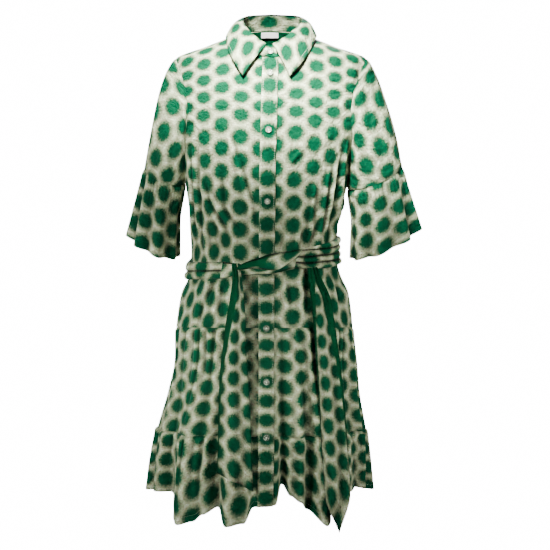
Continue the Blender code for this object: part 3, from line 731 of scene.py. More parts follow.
def formed_grid(place, flat, across, up, hollow=None):
    """A grid whose corners go where place puts them, given shares to the viewer's right and up, and
    whose map is where flat puts them on the uncut cloth. Its "fold" attribute carries painted shade
    for its folds' hollows and painted highlight for their ridges; hollow adds more painted shade, and
    painted highlight where it is negative."""
    mesh = bmesh.new()
    bmesh.ops.create_grid(mesh, x_segments=across, y_segments=up, size=0.5)
    shares = np.array([corner.co[:2] for corner in mesh.verts]) + 0.5
    points = np.column_stack(np.broadcast_arrays(*place(shares[:, 0], shares[:, 1])))
    spots = np.column_stack(np.broadcast_arrays(*flat(shares[:, 0], shares[:, 1]))) * MM
    cloth_map = mesh.loops.layers.uv.new("cloth")
    folded = mesh.verts.layers.float.new("fold")
    heights = fold_height(points, across, up)
    if hollow:
        heights = np.clip(heights - hollow(*shares.T), -FOLD_DEEPEST, 1)
    for corner, point, spot, height in zip(mesh.verts, points * MM, spots, heights):
        corner.co = point
        corner[folded] = height
        for loop in corner.link_loops:
            loop[cloth_map].uv = spot
    bmesh.ops.remove_doubles(mesh, verts=mesh.verts, dist=0.02 * MM)
    return mesh


def near_edge(share, reach):
    """1 at an edge, from where the share is measured, and fading over the reach."""
    return np.exp(-share / reach)


def put_in_scene(name, data):
    """An object that shows a mesh's, a light's or a camera's data."""
    made = bpy.data.objects.new(name, data)
    bpy.context.scene.collection.objects.link(made)
    return made


def mesh_data(name, mesh, *materials):
    """The finished data of a mesh that was being built."""
    data = bpy.data.meshes.new(name)
    mesh.to_mesh(data)
    mesh.free()
    for material in materials:
        data.materials.append(material)
    return data


def show(name, mesh, *materials):
    """A piece of the dress with that mesh, smooth, which rides on the one body."""
    data = mesh_data(name, mesh, *materials)
    data.shade_smooth()
    piece = put_in_scene(name, data)
    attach(piece, "root")
    return piece


def cut_size(mesh):
    """The width, length and area, in metres, that the cloth was cut to."""
    cloth_map = mesh.loops.layers.uv["cloth"]
    area, low, high = 0.0, Vector((9, 9)), Vector((-9, -9))
    for face in mesh.faces:
        spots = [loop[cloth_map].uv for loop in face.loops]
        for spot in spots:
            low, high = Vector(map(min, low, spot)), Vector(map(max, high, spot))
        turns = [a.cross(b) for a, b in zip(spots, spots[1:] + spots[:1])]
        area += abs(sum(turns)) / 2
    return (high - low)[:], area


def sew_in(name, mesh, stands_for=(), inside=PLAIN_REVERSE, cut=None):
    """A piece of cloth whose outer face the mesh is, with the cloth's thickness behind it. cut is its
    flat width and length in metres where its folds hide part of what the map spans; the flat size and
    area are worked out from it, or from the map, but nothing uses them."""
    flat, area = (cut, cut[0] * cut[1]) if cut else cut_size(mesh)
    piece = show(name, mesh, PRINTED_FACE, inside)
    wall = piece.modifiers.new("cloth", "SOLIDIFY")
    wall.thickness = CLOTH_THICK * MM
    wall.offset = -1
    wall.material_offset = 1
    if stands_for:
        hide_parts(*stands_for)


TUCK = 4  # at a gathered seam the lower cloth's edge goes on this far up behind the upper cloth
TUCK_DEEP = 1.5  # and lies this far in, as a back panel's side edges do behind the fronts
SIDE_TUCKED = 0.025  # the share of a back panel's width that lies in at each side
BODICE_FINE = 9  # rows of the mesh in one of the panels' rows
FRONT_COLUMNS = 110
BACK_COLUMNS = 90
DOT_NEAREST_FRONT = {-1: (-52, -178), 1: (44, -171)}  # x and height of a dot's middle on each front


def make_fronts():
    for name, side in (("front_right", -1), ("front_left", 1)):
        dot_x, dot_level = DOT_NEAREST_FRONT[side]
        dot = bodice_map("front", side, abs(turn_at(dot_x, dot_level)), dot_level)

        def panel_place(across, up):
            return BODICE_ROWS * (1 - up), across if side > 0 else 1 - across

        def place(across, up):
            return bodice(FRONT_ROWS, *panel_place(across, up), side)

        def flat(across, up):
            along, down = bodice_map("front", side, *bodice_place(FRONT_ROWS, *panel_place(across, up)))
            return along - dot[0], down - dot[1]

        mesh = formed_grid(place, flat, FRONT_COLUMNS, BODICE_ROWS * BODICE_FINE)
        sew_in("cloth_" + name, mesh, [name])


def make_back():
    """The back is one panel, so its grid has a strip too many down the middle. The strip closes to
    nothing below the neck, and the part of it that spans the neck is cut away."""
    columns = 2 * BACK_COLUMNS + 1

    def panel_place(across, up):
        column = across * columns
        outward = np.maximum(BACK_COLUMNS - column, column - BACK_COLUMNS - 1) / BACK_COLUMNS
        return BODICE_ROWS * (1 - up), np.clip(outward, 0, 1)

    def place(across, up):
        row, outward = panel_place(across, up)
        x, y, z = bodice(BACK_ROWS, row, outward, np.where(across < 0.5, 1, -1))
        behind_front = ease(1 + (outward - 1) / SIDE_TUCKED) * ease(row - UPPER_ROWS)
        return x - np.sign(x) * TUCK_DEEP * behind_front, y - TUCK / 2 * behind_front, z

    def flat(across, up):
        turn, level = bodice_place(BACK_ROWS, *panel_place(across, up))
        right, left = (bodice_map("back", side, turn, level) for side in (1, -1))
        return [np.where(across < 0.5, a, b) for a, b in zip(right, left)]

    panel = formed_grid(place, flat, columns, BODICE_ROWS * BODICE_FINE)
    spanning = []
    for face in panel.faces:
        ends = [corner.co.x for corner in face.verts]
        if face.calc_center_median().z > 0 and min(ends) < -0.2 * MM and max(ends) > 0.2 * MM:
            spanning.append(face)
    bmesh.ops.delete(panel, geom=spanning, context="FACES")
    sew_in("cloth_back", panel, ["back"])


make_fronts()
make_back()

# ------------------------------------------------------------------------------------------------
# The skirt: a gathered tier below the hip seam and a gathered ruffle below that, each cut as two
# fronts and a back from straight strips of the same cloth, drawn up on threads and sewn on.
# ------------------------------------------------------------------------------------------------
TIER_LENGTHWISE = {"skirt": 58, "ruffle": 46}  # rows of the mesh
TIER_FINE = 2.8  # one column of the mesh for so many millimetres round
SIDE_LAP = 1.2  # a back strip goes on this many degrees behind the fronts
SIDE_TURNS = {"front_right": (-90, 0), "front_left": (0, 90), "back": (90 - SIDE_LAP, 270 + SIDE_LAP)}
TIER_SCALE = {"skirt": 0.84, "ruffle": 0.88}  # the flat strip's width for each width of its folded hem
TIER_LONG = 1.08  # and its length for each length between its levels
TIER_DOT = {"skirt": (-4, -12), "ruffle": (14, -6)}  # how far a dot's middle lies from the strip's corner
TURN_STEP = 0.2  # the distance round is measured in steps of so many degrees


def make_tiers():
    for tier, top, bottom in (("skirt", HIP_SEAM, RUFFLE_SEAM), ("ruffle", RUFFLE_SEAM, HEM)):
        turns = np.arange(-90 - SIDE_LAP, 270 + SIDE_LAP + TURN_STEP / 20, TURN_STEP)
        line = np.column_stack(body(turns, blend(top, bottom, 0.8)))
        round_it = np.concatenate([[0], np.cumsum(np.linalg.norm(np.diff(line, axis=0), axis=1))])
        for panel, (first, last) in SIDE_TURNS.items():
            start, end = np.interp((first, last), turns, round_it)

            def place(across, up):
                turn = np.interp(blend(start, end, across), round_it, turns)
                level = blend(bottom, top + TUCK, up)
                behind_front = ease((np.abs(turn - 180) - 89) / 2) if panel == "back" else 0
                behind_upper = ease((level - top + TUCK) / TUCK)
                x, y, z = body(turn, level, -TUCK_DEEP * np.maximum(behind_upper, behind_front))
                at_centre = np.where(across < 0.5, 1, -1) * (np.abs(turn) < 0.01)
                return x + SEAM / 2 * at_centre, y, z

            def flat(across, up):
                along = blend(start, end, across) * TIER_SCALE[tier]
                return along + TIER_DOT[tier][0], (top + TUCK - bottom) * TIER_LONG * up + TIER_DOT[tier][1]

            mesh = formed_grid(place, flat, round((end - start) / TIER_FINE), TIER_LENGTHWISE[tier])
            sew_in(f"cloth_{tier}_{panel}", mesh, [f"{tier}_{panel}"])


make_tiers()

# ------------------------------------------------------------------------------------------------
# The placket: a straight doubled strip of the same cloth from the neck to the hem, folded along its
# free edge, top-stitched down its sewn edge, and lying over the two fronts' meeting edges.
# ------------------------------------------------------------------------------------------------
PLACKET_WIDTH = 28
PLACKET_OFF = LIFT_OFF + SEAM
PLACKET_TOP = -40.4
PLACKET_MESH = (22, 430)
PLACKET_DOT_LEVEL = -168  # height of a dot's middle on the placket
STITCH_INSET = 3
STITCH_SINK = 0.8  # the rows of stitching draw the cloth in this much
FREE_EDGE_LIFT = 1.8  # the placket's free edge stands up this much
FREE_EDGE = (0.7, 0.3)  # from this share of its width, over so much more
BUCKLE = (0.9, 40, 60, 31)  # swells of the strip, and puckers beside its stitching
PUCKER = (0.35, 130, 60, 33)
SKIRT_SLACK = 1.02  # below the hip the grain runs so much longer than the level falls
PLACKET_CREEP = 0.2  # and below the waist the strip is eased on, so the dots come this much closer
CREEP_FROM = -430


def placket_face(x_off, level, off):
    """A point over the placket's strip, x_off to the viewer's right of its middle line."""
    x, y, z = body(turn_at(read(BODY, "placket", level) + x_off, level), level, off)
    return x, y - SEAM / 2, z


def grain_down(level):
    """How far down the grain a level of the centre front lies, past the hip too."""
    above = read_map(PANEL_MAPS["front", 1][1], 0 * level, np.maximum(level, HIP_SEAM))
    below = np.maximum(0, HIP_SEAM - level) * SKIRT_SLACK
    return above + below + PLACKET_CREEP * np.maximum(0, CREEP_FROM - level)


def make_placket():
    def level_at(up):
        return np.interp(up, [0, 1], [HEM, PLACKET_TOP])

    def place(across, up):
        x_off = PLACKET_WIDTH * (across - 0.5)
        edge = np.abs(across - 0.5) * 2
        buckle = swell(BUCKLE, 360 * up, x_off) - 0.5 * ease((edge - 0.9) / 0.1)
        pucker = swell(PUCKER, 360 * up, 0) * ease((edge - 0.4) / 0.4)
        stitched = -STITCH_SINK * bell((np.abs(x_off) - PLACKET_WIDTH / 2 + STITCH_INSET) / 0.9)
        free_edge = FREE_EDGE_LIFT * ease((across - FREE_EDGE[0]) / FREE_EDGE[1])
        return placket_face(x_off, level_at(up), PLACKET_OFF + buckle + pucker + stitched + free_edge)

    dot_down = grain_down(np.array([float(PLACKET_DOT_LEVEL)]))[0]

    def flat(across, up):
        return PLACKET_WIDTH * (across - 0.5), dot_down - grain_down(level_at(up))

    def hollow(across, up):
        """Painted shadow down the free edge and a painted highlight down the sewn edge's fold."""
        return 1.2 * near_edge(1 - across, 0.05) - 0.7 * near_edge(np.abs(across - 0.08), 0.05)

    mesh = formed_grid(place, flat, *PLACKET_MESH, hollow)
    sew_in("cloth_placket", mesh, ["placket"])


make_placket()

# ------------------------------------------------------------------------------------------------
# The collar: a stand round the neck, whose buttoned end laps over its start, and a pointed leaf that
# falls from the stand's top. Both are doubled cloth, turned out and pressed, printed on both sides.
# ------------------------------------------------------------------------------------------------
NECK_STEPS = table("turn step", (0, 0), (90, 6), (180, 11), (270, 16), (360, 22))
ROUND_NECK = 22
COLLAR = table(
    "turn fold_x fold_y fold_z edge_x edge_y edge_z fold_shift edge_shift",
    (0, 5, -71, -18, 41, -93, -74, -1, -7),
    (25, 20, -67, -9, 57, -84, -54, 0, -4),
    (50, 36, -53, 4, 73, -60, -28, 1, -2),
    (90, 53, -6, 27, 82, -10, -1, 4, 2),
    (130, 43, 37, 38, 66, 51, 0, 4, 3),
    (180, 0, 57, 42, 0, 76, 0, 0, 0),
)
LEAF_CLEAR = 2.8  # the stand's top ends this far under the fold
STAND_OUT = 0.9  # and this far outside its line, but in front the stand leans back from the leaf
STAND_LEAN = 2.4
STAND_CLEAR = 0.9  # its leaning foot starts this far above the neckline
STAND_LAP = (310, 40)  # from this turn, over so many degrees, its buttoned end laps over its start
STAND_MESH = (8 * (ROUND_NECK + 1), 16)
STAND_CUT = (360, 34)
LEAF_ARCH = 2  # the leaf rises this far over its fold before it falls
FLAT_FRONT = 40  # its front edge is cut straight, and the leaf takes its full arch this far round
LEAF_MESH = (10 * ROUND_NECK, 40)
LEAF_CUT = (470, 62)
LEAF_DOT = (6, 9)  # how far the print is moved along and up it
LEAF_SWELL = (0.8, 18, 30, 41)
NECK_END = 359.99  # the last turn round the neck, just short of the first


def neck(turn):
    """The neckline's point at a turn round it, on the bodice panels' own edges."""
    step = read(NECK_STEPS, "step", turn % 360)
    side = np.where(step < NECK_STEPS["step"][2], 1, -1)
    step = np.minimum(step, NECK_STEPS["step"][-1] - step)
    shoulder = NECK_STEPS["step"][1]
    front = bodice(FRONT_ROWS, shoulder - np.minimum(step, shoulder), 0 * step, side)
    back = bodice(BACK_ROWS, np.maximum(step - shoulder, 0), 0 * step, side)
    return [np.where(step < shoulder, a, b) for a, b in zip(front, back)]


def collar_line(line, turn, outward=0.0):
    """The collar's fold or falling edge, or a line outward millimetres beyond it."""
    turn = turn % 360
    side = np.where(turn > 180, -1, 1)
    near = np.minimum(turn, 360 - turn)
    x, y = read(COLLAR, line + "_x", near), read(COLLAR, line + "_y", near)
    grown = 1 + outward / np.hypot(x, y)
    return side * x * grown + read(COLLAR, line + "_shift", near), y * grown, read(COLLAR, line + "_z", near)


def turn_round_neck(step):
    """The turn at a step along the neckline, from 0 to 360 degrees."""
    return np.minimum(np.interp(step, NECK_STEPS["step"], NECK_STEPS["turn"]), NECK_END)


def stand_face(across, up):
    """The collar stand, one band round the neck whose buttoned end laps over its start."""
    step = across * (ROUND_NECK + 1)
    turn = turn_round_neck(step)
    past = np.maximum(0, step - ROUND_NECK) * PLACKET_WIDTH / 2
    lap = 2 * LIFT_OFF * ease((turn - STAND_LAP[0]) / STAND_LAP[1])
    x, y, z = neck(turn)
    grown = 1 + lap / np.hypot(x, y)
    low = (x * grown + past, y * grown, z + STAND_CLEAR)
    lean = STAND_LEAN * (1 - ease(np.minimum(turn, 360 - turn) / FLAT_FRONT))
    tuck = 2 * LIFT_OFF * (1 - ease(turn / STAND_LAP[1]))
    top_x, top_y, top_z = collar_line("fold", turn, STAND_OUT - lean - tuck)
    top = (top_x + past, top_y, top_z - LEAF_CLEAR)
    return [blend(a, b, up) for a, b in zip(low, top)]


def leaf_face(across, up):
    """The collar's leaf, which arches over its fold and falls to its edge."""
    turn = turn_round_neck(across * ROUND_NECK)
    fold, edge = collar_line("fold", turn), collar_line("edge", turn)
    bend = [blend(a, b, 0.55) for a, b in zip(fold, edge)]
    arched = ease(np.minimum(turn, 360 - turn) / FLAT_FRONT)
    bend[2] = blend(blend(fold[2], edge[2], 0.45), fold[2] + LEAF_ARCH, arched)
    return [a * up**2 + 2 * c * up * (1 - up) + b * (1 - up) ** 2 for a, b, c in zip(fold, edge, bend)]


def make_collar():
    def stand_flat(across, up):
        return STAND_CUT[0] * across, STAND_CUT[1] * up

    def leaf_flat(across, up):
        return LEAF_CUT[0] * (across - 0.5) + LEAF_DOT[0], LEAF_CUT[1] * up + LEAF_DOT[1]

    def leaf(across, up):
        x, y, z = leaf_face(across, up)
        lift = swell(LEAF_SWELL, 360 * across, 60 * up) * (1 - up) * up * 4
        grown = 1 + lift / np.maximum(20, np.hypot(x, y))
        return x * grown, y * grown, z

    # Painted shadow along the leaf's falling edge.
    def leaf_hollow(across, up):
        return 1.6 * near_edge(up, 0.03)

    stand = formed_grid(stand_face, stand_flat, *STAND_MESH)
    sew_in("cloth_collar_stand", stand, ["collar_stand"], PRINTED_FACE)
    fallen = formed_grid(leaf, leaf_flat, *LEAF_MESH, leaf_hollow)
    sew_in("cloth_collar", fallen, ["collar"], PRINTED_FACE)


make_collar()

# ------------------------------------------------------------------------------------------------
# The sleeves: each is set into its armhole a little full, hangs straight to above the elbow, and
# ends in a wider gathered flounce whose hem is turned up narrow and left to fall in loose folds.
# ------------------------------------------------------------------------------------------------
# Each sleeve's rings at its flounce's seam and at the hem: the middle's x and level, half the width
# and half the depth.
SLEEVES = {
    "right": dict(side=-1, seam=(199, -252), seam_half=(36, 63), hem=(215, -381), hem_half=(49, 72)),
    "left": dict(side=1, seam=(197, -256), seam_half=(50, 57), hem=(211, -377), hem_half=(68, 66)),
}
ARM_TILT = math.radians(24)
FRONT_DROP = 0.12  # the sleeve's rings fall this much for each step forward
SLEEVE_GAP = 0.35
SLEEVE_LEAN = 9  # above the elbow the sleeve's inner side lies this much nearer the body
HEAD_OUT = (20, 64)  # how it leaves the armhole: outward, under the arm and on the shoulder
HEAD_FORWARD = 14
HEAD_DOWN = (10, 27)  # down, under the arm and on the shoulder, and more in front and behind
HEAD_DOWN_FRONT = 22
SLEEVE_PULL = 150  # how firmly the sleeve's lower end hangs straight down
SLEEVE_INWARD = 22
SLEEVE_FOLDS = (3.4, 15, 120, 50)
SLEEVE_DRAGS = (1.6, 24, 55, 60)  # slanting, as the arm's cloth twists
SLEEVE_PUCKERS = 44  # round the armhole's seam
SLEEVE_MESH = (190, 76)
FLOUNCE_WAVES = 9
FLOUNCE_RIPPLE = (1.5, 10)  # the waves' height at the flounce's seam and at its hem
FLOUNCE_TUCKS = 46  # round its seam
TUCK_STRAY = (2, 20, 60, 71)
FLOUNCE_SWING = (2.0, 22, 160, 80)
FLOUNCE_MESH = (240, 52)
FLOUNCE_LONG = 132
FLOUNCE_EASE = 0.9  # the flounce's cut width for its hem's, whose waves lie along the cloth's bias


def ring_point(centre, halves, turn, side, waves=0.0):
    """A point round a sleeve: turn 0 is against the body, 90 the front and 180 the outer side."""
    angle = np.radians(turn)
    outer, front = -np.cos(angle), np.sin(angle)
    across, deep = outer * (halves[0] + waves), front * (halves[1] + waves)
    x = side * (centre[0] + across * math.cos(ARM_TILT))
    return [x, -deep, centre[1] + across * math.sin(ARM_TILT) - FRONT_DROP * deep]


def around_sleeve(across, side):
    """The turn round a sleeve, so that across runs to the viewer's right seen from outside."""
    return 360 * (across if side > 0 else 1 - across)


def sleeve_head(turn, side):
    """Where the sleeve starts round the armhole, on the panels' own edges, and the way it leaves them."""
    step = UPPER_ROWS * turn / 180
    ends = np.ones_like(turn)
    front = bodice(FRONT_ROWS, np.clip(UPPER_ROWS - step, 0, UPPER_ROWS), ends, side)
    back = bodice(BACK_ROWS, np.clip(step - UPPER_ROWS, 0, UPPER_ROWS), ends, side)
    start = [np.where(turn < 180, a, b) for a, b in zip(front, back)]
    start[1] = start[1] + np.where(turn < 180, SEAM / 2, -SEAM / 2)
    angle = np.radians(turn)
    outer, front_share = (1 - np.cos(angle)) / 2, np.sin(angle)
    down = blend(*HEAD_DOWN, outer) + HEAD_DOWN_FRONT * np.abs(front_share)
    leave = [side * blend(*HEAD_OUT, outer), -HEAD_FORWARD * front_share, -down]
    length = np.sqrt(sum(part**2 for part in leave))
    return [a + part / length * SLEEVE_GAP for a, part in zip(start, leave)], leave


def near_body(angle):
    """1 where the sleeve faces the body, and 0 at its outer side."""
    return (0.5 + 0.5 * np.cos(angle)) ** 2


def pushed_out(point, turn, side, out, inward=0):
    """A point round a sleeve, moved away from the arm and nearer the body."""
    angle = np.radians(turn)
    return [point[0] - side * (np.cos(angle) * out + inward), point[1] - np.sin(angle) * out, point[2]]


def make_sleeves():
    for name, sleeve in SLEEVES.items():
        side, seam, seam_half, hem, hem_half = sleeve.values()

        def upper(across, up):
            turn = around_sleeve(across, side)
            angle = np.radians(turn)
            t = 1 - up
            start, leave = sleeve_head(turn, side)
            end = ring_point(seam, seam_half, turn, side)
            end[2] = end[2] + SEAM / 2
            arrive = [side * SLEEVE_INWARD, 0, -SLEEVE_PULL * blend(0.35, 1, (1 - np.cos(angle)) / 2)]
            point = [curve(*parts, t) for parts in zip(start, end, leave, arrive)]
            folds = swell(SLEEVE_FOLDS, turn, 100 * t, side) * ease(t / 0.35) * ease((1 - t) / 0.1)
            puckers = np.cos(np.radians(SLEEVE_PUCKERS * turn)) * under_seam(t, 0.04, 0.09)
            drag = swell(SLEEVE_DRAGS, turn + 60 * t, 150 * t, side) * ease(t / 0.2) * ease((1 - t) / 0.2)
            lean = SLEEVE_LEAN * near_body(angle) * ease(t / 0.3)
            return pushed_out(point, turn, side, folds + puckers + drag, lean)

        def upper_flat(across, up):
            turn = around_sleeve(across, side)
            start, end = sleeve_head(turn, side)[0], ring_point(seam, seam_half, turn, side)
            long = np.sqrt(sum((a - b) ** 2 for a, b in zip(start, end)))
            return 2 * math.pi * blend(*sorted(seam_half), 0.5) * across, long * up + 4

        def flounce(across, up):
            turn = around_sleeve(across, side)
            angle = np.radians(turn)
            inner = near_body(angle)
            uneven = np.cos(FLOUNCE_WAVES * angle + 0.9 * np.sin(2 * angle)) * (1 - 0.85 * inner)
            top = ring_point(seam, seam_half, turn, side, FLOUNCE_RIPPLE[0] * uneven)
            top[2] = top[2] - SEAM / 2
            bottom = ring_point(hem, hem_half, turn, side, FLOUNCE_RIPPLE[1] * uneven)
            below = 1 - up
            tucks = 1.5 * np.cos(np.radians(FLOUNCE_TUCKS * turn) + swell(TUCK_STRAY, turn, 0))
            swing = swell(FLOUNCE_SWING, turn, 130 * below, side) * ease(below / 0.4)
            tucked = ease(1 - below / 0.05)
            out = (tucks * under_seam(below, 0.07, 0.3) + swing) * (1 - 0.6 * inner)
            out = out - (TUCK_DEEP + FLOUNCE_RIPPLE[0]) * tucked
            point = [blend(b, a, up) for a, b in zip(top, bottom)]
            point[2] = point[2] + TUCK * tucked
            return pushed_out(point, turn, side, out, SLEEVE_LEAN * inner * (1 - ease(below / 0.55)))

        def flounce_flat(across, up):
            return 2 * math.pi * FLOUNCE_EASE * blend(*hem_half, 0.5) * across + 12, FLOUNCE_LONG * up + 9

        mesh = formed_grid(upper, upper_flat, *SLEEVE_MESH)
        sew_in("cloth_sleeve_" + name, mesh, ["sleeve_" + name])
        mesh = formed_grid(flounce, flounce_flat, *FLOUNCE_MESH)
        sew_in("cloth_flounce_" + name, mesh, ["flounce_" + name])


make_sleeves()

# ------------------------------------------------------------------------------------------------
# The sash: one long strip of the same cloth, gathered in lengthwise folds round the waist, twisted
# over itself at the front, with its two ends hanging from the twist. Its plain reverse shows where
# the strip has turned over.
# ------------------------------------------------------------------------------------------------
SASH = table(
    "turn level height off rolls",
    (-180, -404, 44, 7, 3),
    (-140, -412, 44, 8.5, 2.4),
    (-110, -423, 38, 9, 2),
    (-90, -430, 34, 9.3, 2),
    (-60, -429, 33, 8, 2),
    (-31, -427, 32, 8, 2),
    (19, -406, 34, 8, 3),
    (35, -404, 42, 8, 3.4),
    (65, -397, 50, 9, 4),
    (90, -391, 52, 10, 4),
    (140, -402, 42, 7, 3),
    (180, -404, 44, 7, 3),
)
SASH_ENDS = (19, 329)  # turns where the twist at the front takes over from the band
SASH_ROLL = 4.4  # how far each lengthwise fold stands out
SASH_EDGE = 1.8  # and how far the band's two edges turn in
ROLL_STRAY = (0.16, 14, 60, 91)  # the folds stray up and down, in shares of a fold
SASH_CRUMPLE = (0.8, 46, 7, 93)
BAND_LONG = 640  # its flat length, and the cloth in each fold, of which some is hidden in the next
FOLD_CLOTH = 14
FOLD_HIDDEN = 2.5
BAND_MESH = (320, 56)

# The two strands of the twist, from the viewer's left. The lower one carries the band's left end
# under the knot to the right; the upper one comes up through the knot and turns over to the right.
LOWER_STRAND = table(
    "x z face half_height half_depth",
    (-87, -414, 106.4, 14.5, 2.2),
    (-72, -412, 115, 12.5, 3.2),
    (-56, -410, 120.5, 9, 3.6),
    (-38, -412, 123, 7, 4),
    (-12, -411, 125, 7, 4.5),
    (12, -407, 124.5, 8, 4.5),
    (28, -402, 119.5, 10.5, 3.8),
    (45, -397, 112.5, 13, 2.2),
)
UPPER_STRAND = table(
    "x z face half_height half_depth",
    (-59, -406, 128.5, 3, 2.4),
    (-46, -402, 131, 6, 3.2),
    (-27, -398, 132.5, 8.5, 3.8),
    (-6, -396, 133.5, 13, 4.2),
    (10, -395, 133.5, 15.5, 4.4),
    (26, -391, 131, 13.5, 4.2),
    (40, -386, 125.5, 9.5, 3.2),
    (54, -379, 119, 4, 1.8),
)
LEFT_TAIL = table(
    "level near_x far_x face back slant",
    (-398, -68, -54, 124.2, -3, 0),
    (-425, -67, -50, 124.2, -3, 0),
    (-460, -71, -46, 130, -4, 0),
    (-500, -78, -43, 135, -5, 0),
    (-548, -84, -42, 141, -5, 0),
    (-590, -89, -39, 146, -4, 0),
    (-635, -91, -36, 152, -3, 2),
    (-722, -93, -32, 167, -2, 14),
    (-764, -94, -30, 177, -1, 33),
)
RIGHT_TAIL = table(
    "level near_x far_x face back slant",
    (-410, 66, 84, 99.4, 10, 0),
    (-430, 67, 92, 103, 12, 0),
    (-463, 72, 107, 111, 15, 0),
    (-500, 76, 114, 118, 18, 0),
    (-550, 80, 121, 126, 20, 0),
    (-636, 86, 132, 140, 22, 2),
    (-723, 91, 139, 157, 20, 12),
    (-780, 95, 143, 170, 14, 30),
    (-814, 97, 123, 179, 8, 62),
)
TAIL_RIPPLE = 2.5
TAIL_RIPPLES = 1.5  # from one side edge to the other
TAIL_PLEATS = 3.5  # where the knot pinches it
TAIL_CRUMPLE = (1.6, 9, 38, 97)
TAIL_WIDTH = 74  # the strip's printed width
TAIL_LONG = 1.12  # its flat length for each length that it hangs
TAIL_MESH = (40, 200)
STRAND_FOLD = 0.26  # the depth of a strand's folds, as a share of its size
STRAND_CRUMPLE = (0.05, 12, 14, 95)
STRAND_LONG = 0.9  # its flat length for each length across the front, and its distance round
STRAND_ROUND = 96
STRAND_MESH = (96, 96)
# Where the cloth has turned over: half the width of the strips at the ends' side edges.
STRIPS = table(
    "level left right_near right_far",
    (-400, 9, 9, 6),
    (-430, 12, 11, 14),
    (-480, 12, 7, 15),
    (-530, 9, 4, 11),
    (-600, 5, 2.5, 6),
    (-700, 2.5, 1, 3),
    (-760, 1.5, 0, 1),
    (-815, 1, -1, -1),
)


def turned_over(mesh, share_at):
    """Marks the corners where the cloth has turned over and its reverse is to the front, from 0 to 1."""
    marks = mesh.verts.layers.float.new("reverse")
    places = np.array([corner.co[:] for corner in mesh.verts]) / MM
    for corner, share in zip(mesh.verts, share_at(*places.T)):
        corner[marks] = share


def make_sash_band():
    def turn_along(across):
        """The band's turn at a share along it, from -180 to 180."""
        return (blend(*SASH_ENDS, across) + 180) % 360 - 180

    def rolls_up(across, up):
        """How many of the band's folds lie below a place."""
        return 0.999 * up * read(SASH, "rolls", turn_along(across))

    def band(across, up):
        turn = turn_along(across)
        level = read(SASH, "level", turn) + read(SASH, "height", turn) * (up - 0.5)
        rolls = up * read(SASH, "rolls", turn) + swell(ROLL_STRAY, turn, 0) * np.sin(np.pi * up)
        rolled = SASH_ROLL * (np.abs(np.sin(np.pi * rolls)) ** 0.55 - 0.8)
        edges = -SASH_EDGE * (near_edge(up, 0.05) + near_edge(1 - up, 0.05))
        stand = read(SASH, "off", turn) + rolled + edges + swell(SASH_CRUMPLE, turn, 60 * up)
        return body(turn, level, stand - standing_out(turn, level))

    def band_flat(across, up):
        rolls = rolls_up(across, up)
        return BAND_LONG * across, 3 + FOLD_CLOTH * rolls - FOLD_HIDDEN * np.floor(rolls)

    def hollow(across, up):
        """Painted shade between the folds and along the lower edge."""
        rolls = rolls_up(across, up)
        return 1.3 * (near_edge(np.abs(rolls - np.round(rolls)), 0.12) + near_edge(up, 0.05))

    mesh = formed_grid(band, band_flat, *BAND_MESH, hollow)
    sew_in("cloth_sash_band", mesh, ["sash_band"], cut=(0.74, 0.055))


def make_strand(name, rows, rolls, shift, reversed_at=None):
    """One strand of the twist: a flattened roll of the strip with folds running along it."""

    def strand(across, around):
        x = blend(rows["x"][0], rows["x"][-1], across)
        angle = 2 * np.pi * around
        fold = np.abs(np.sin(rolls * angle / 2 + 1.6 * across + 0.4)) ** 0.6
        lengthwise = 1 + STRAND_FOLD * (fold - 0.7) + swell(STRAND_CRUMPLE, 360 * around, 120 * across)
        height, depth = read(rows, "half_height", x), read(rows, "half_depth", x)
        y = -read(rows, "face", x) + depth * (1 + lengthwise * np.sin(angle))
        lean = 2.5 * np.cos(angle)
        return x + lean, y, read(rows, "z", x) + height * lengthwise * np.cos(angle)

    def strand_flat(across, around):
        return STRAND_LONG * (rows["x"][-1] - rows["x"][0]) * across + shift, STRAND_ROUND * around

    def hollow(across, around):
        """Painted shade along the strand's top and bottom, and a painted highlight between them."""
        rim = np.abs(np.cos(2 * np.pi * around))
        return 1.8 * ease((rim - 0.72) / 0.25) - 0.7 * ease((0.7 - rim) / 0.4)

    rope = formed_grid(strand, strand_flat, *STRAND_MESH, hollow)
    bmesh.ops.holes_fill(rope, edges=[edge for edge in rope.edges if edge.is_boundary])
    bmesh.ops.recalc_face_normals(rope, faces=rope.faces)
    if reversed_at:
        turned_over(rope, reversed_at)
    piece = show(name, rope, PRINTED_FACE)
    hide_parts("sash_twist")


def make_tail(name, rows, shift, cut, reversed_at):
    """One hanging end of the sash, whose reverse shows where it has rolled forward."""
    top, bottom = rows["level"][0], rows["level"][-1]

    def tail(across, up):
        level = blend(bottom, top, up)
        near, far = read(rows, "near_x", level), read(rows, "far_x", level)
        ripple = TAIL_RIPPLE * np.minimum(1, (far - near) / 45) * np.cos(2 * np.pi * TAIL_RIPPLES * across)
        crumple = swell(TAIL_CRUMPLE, 200 * across, level) * ease((1 - up) / 0.1)
        pinch = 1.2 * np.cos(2 * np.pi * TAIL_PLEATS * across) * near_edge(1 - up, 0.12)
        back = read(rows, "back", level) * across + ripple + crumple + pinch
        lower = read(rows, "slant", level) * across
        return blend(near, far, across), back - read(rows, "face", level), level - lower

    def tail_flat(across, up):
        return TAIL_WIDTH * across + shift, (top - bottom) * TAIL_LONG * up

    def hollow(across, up):
        """Painted shade along both side edges and the foot."""
        return 1.2 * (near_edge(across, 0.03) + near_edge(1 - across, 0.03) + near_edge(up, 0.008))

    mesh = formed_grid(tail, tail_flat, *TAIL_MESH, hollow)
    turned_over(mesh, reversed_at)
    sew_in("cloth_tail_" + name, mesh, ["sash_tail_" + name], cut=cut)


def strip(distance, half_width):
    """1 within half a strip's width of its middle line, with a soft edge."""
    return ease((half_width - np.abs(distance)) / 1.5 + 0.5)


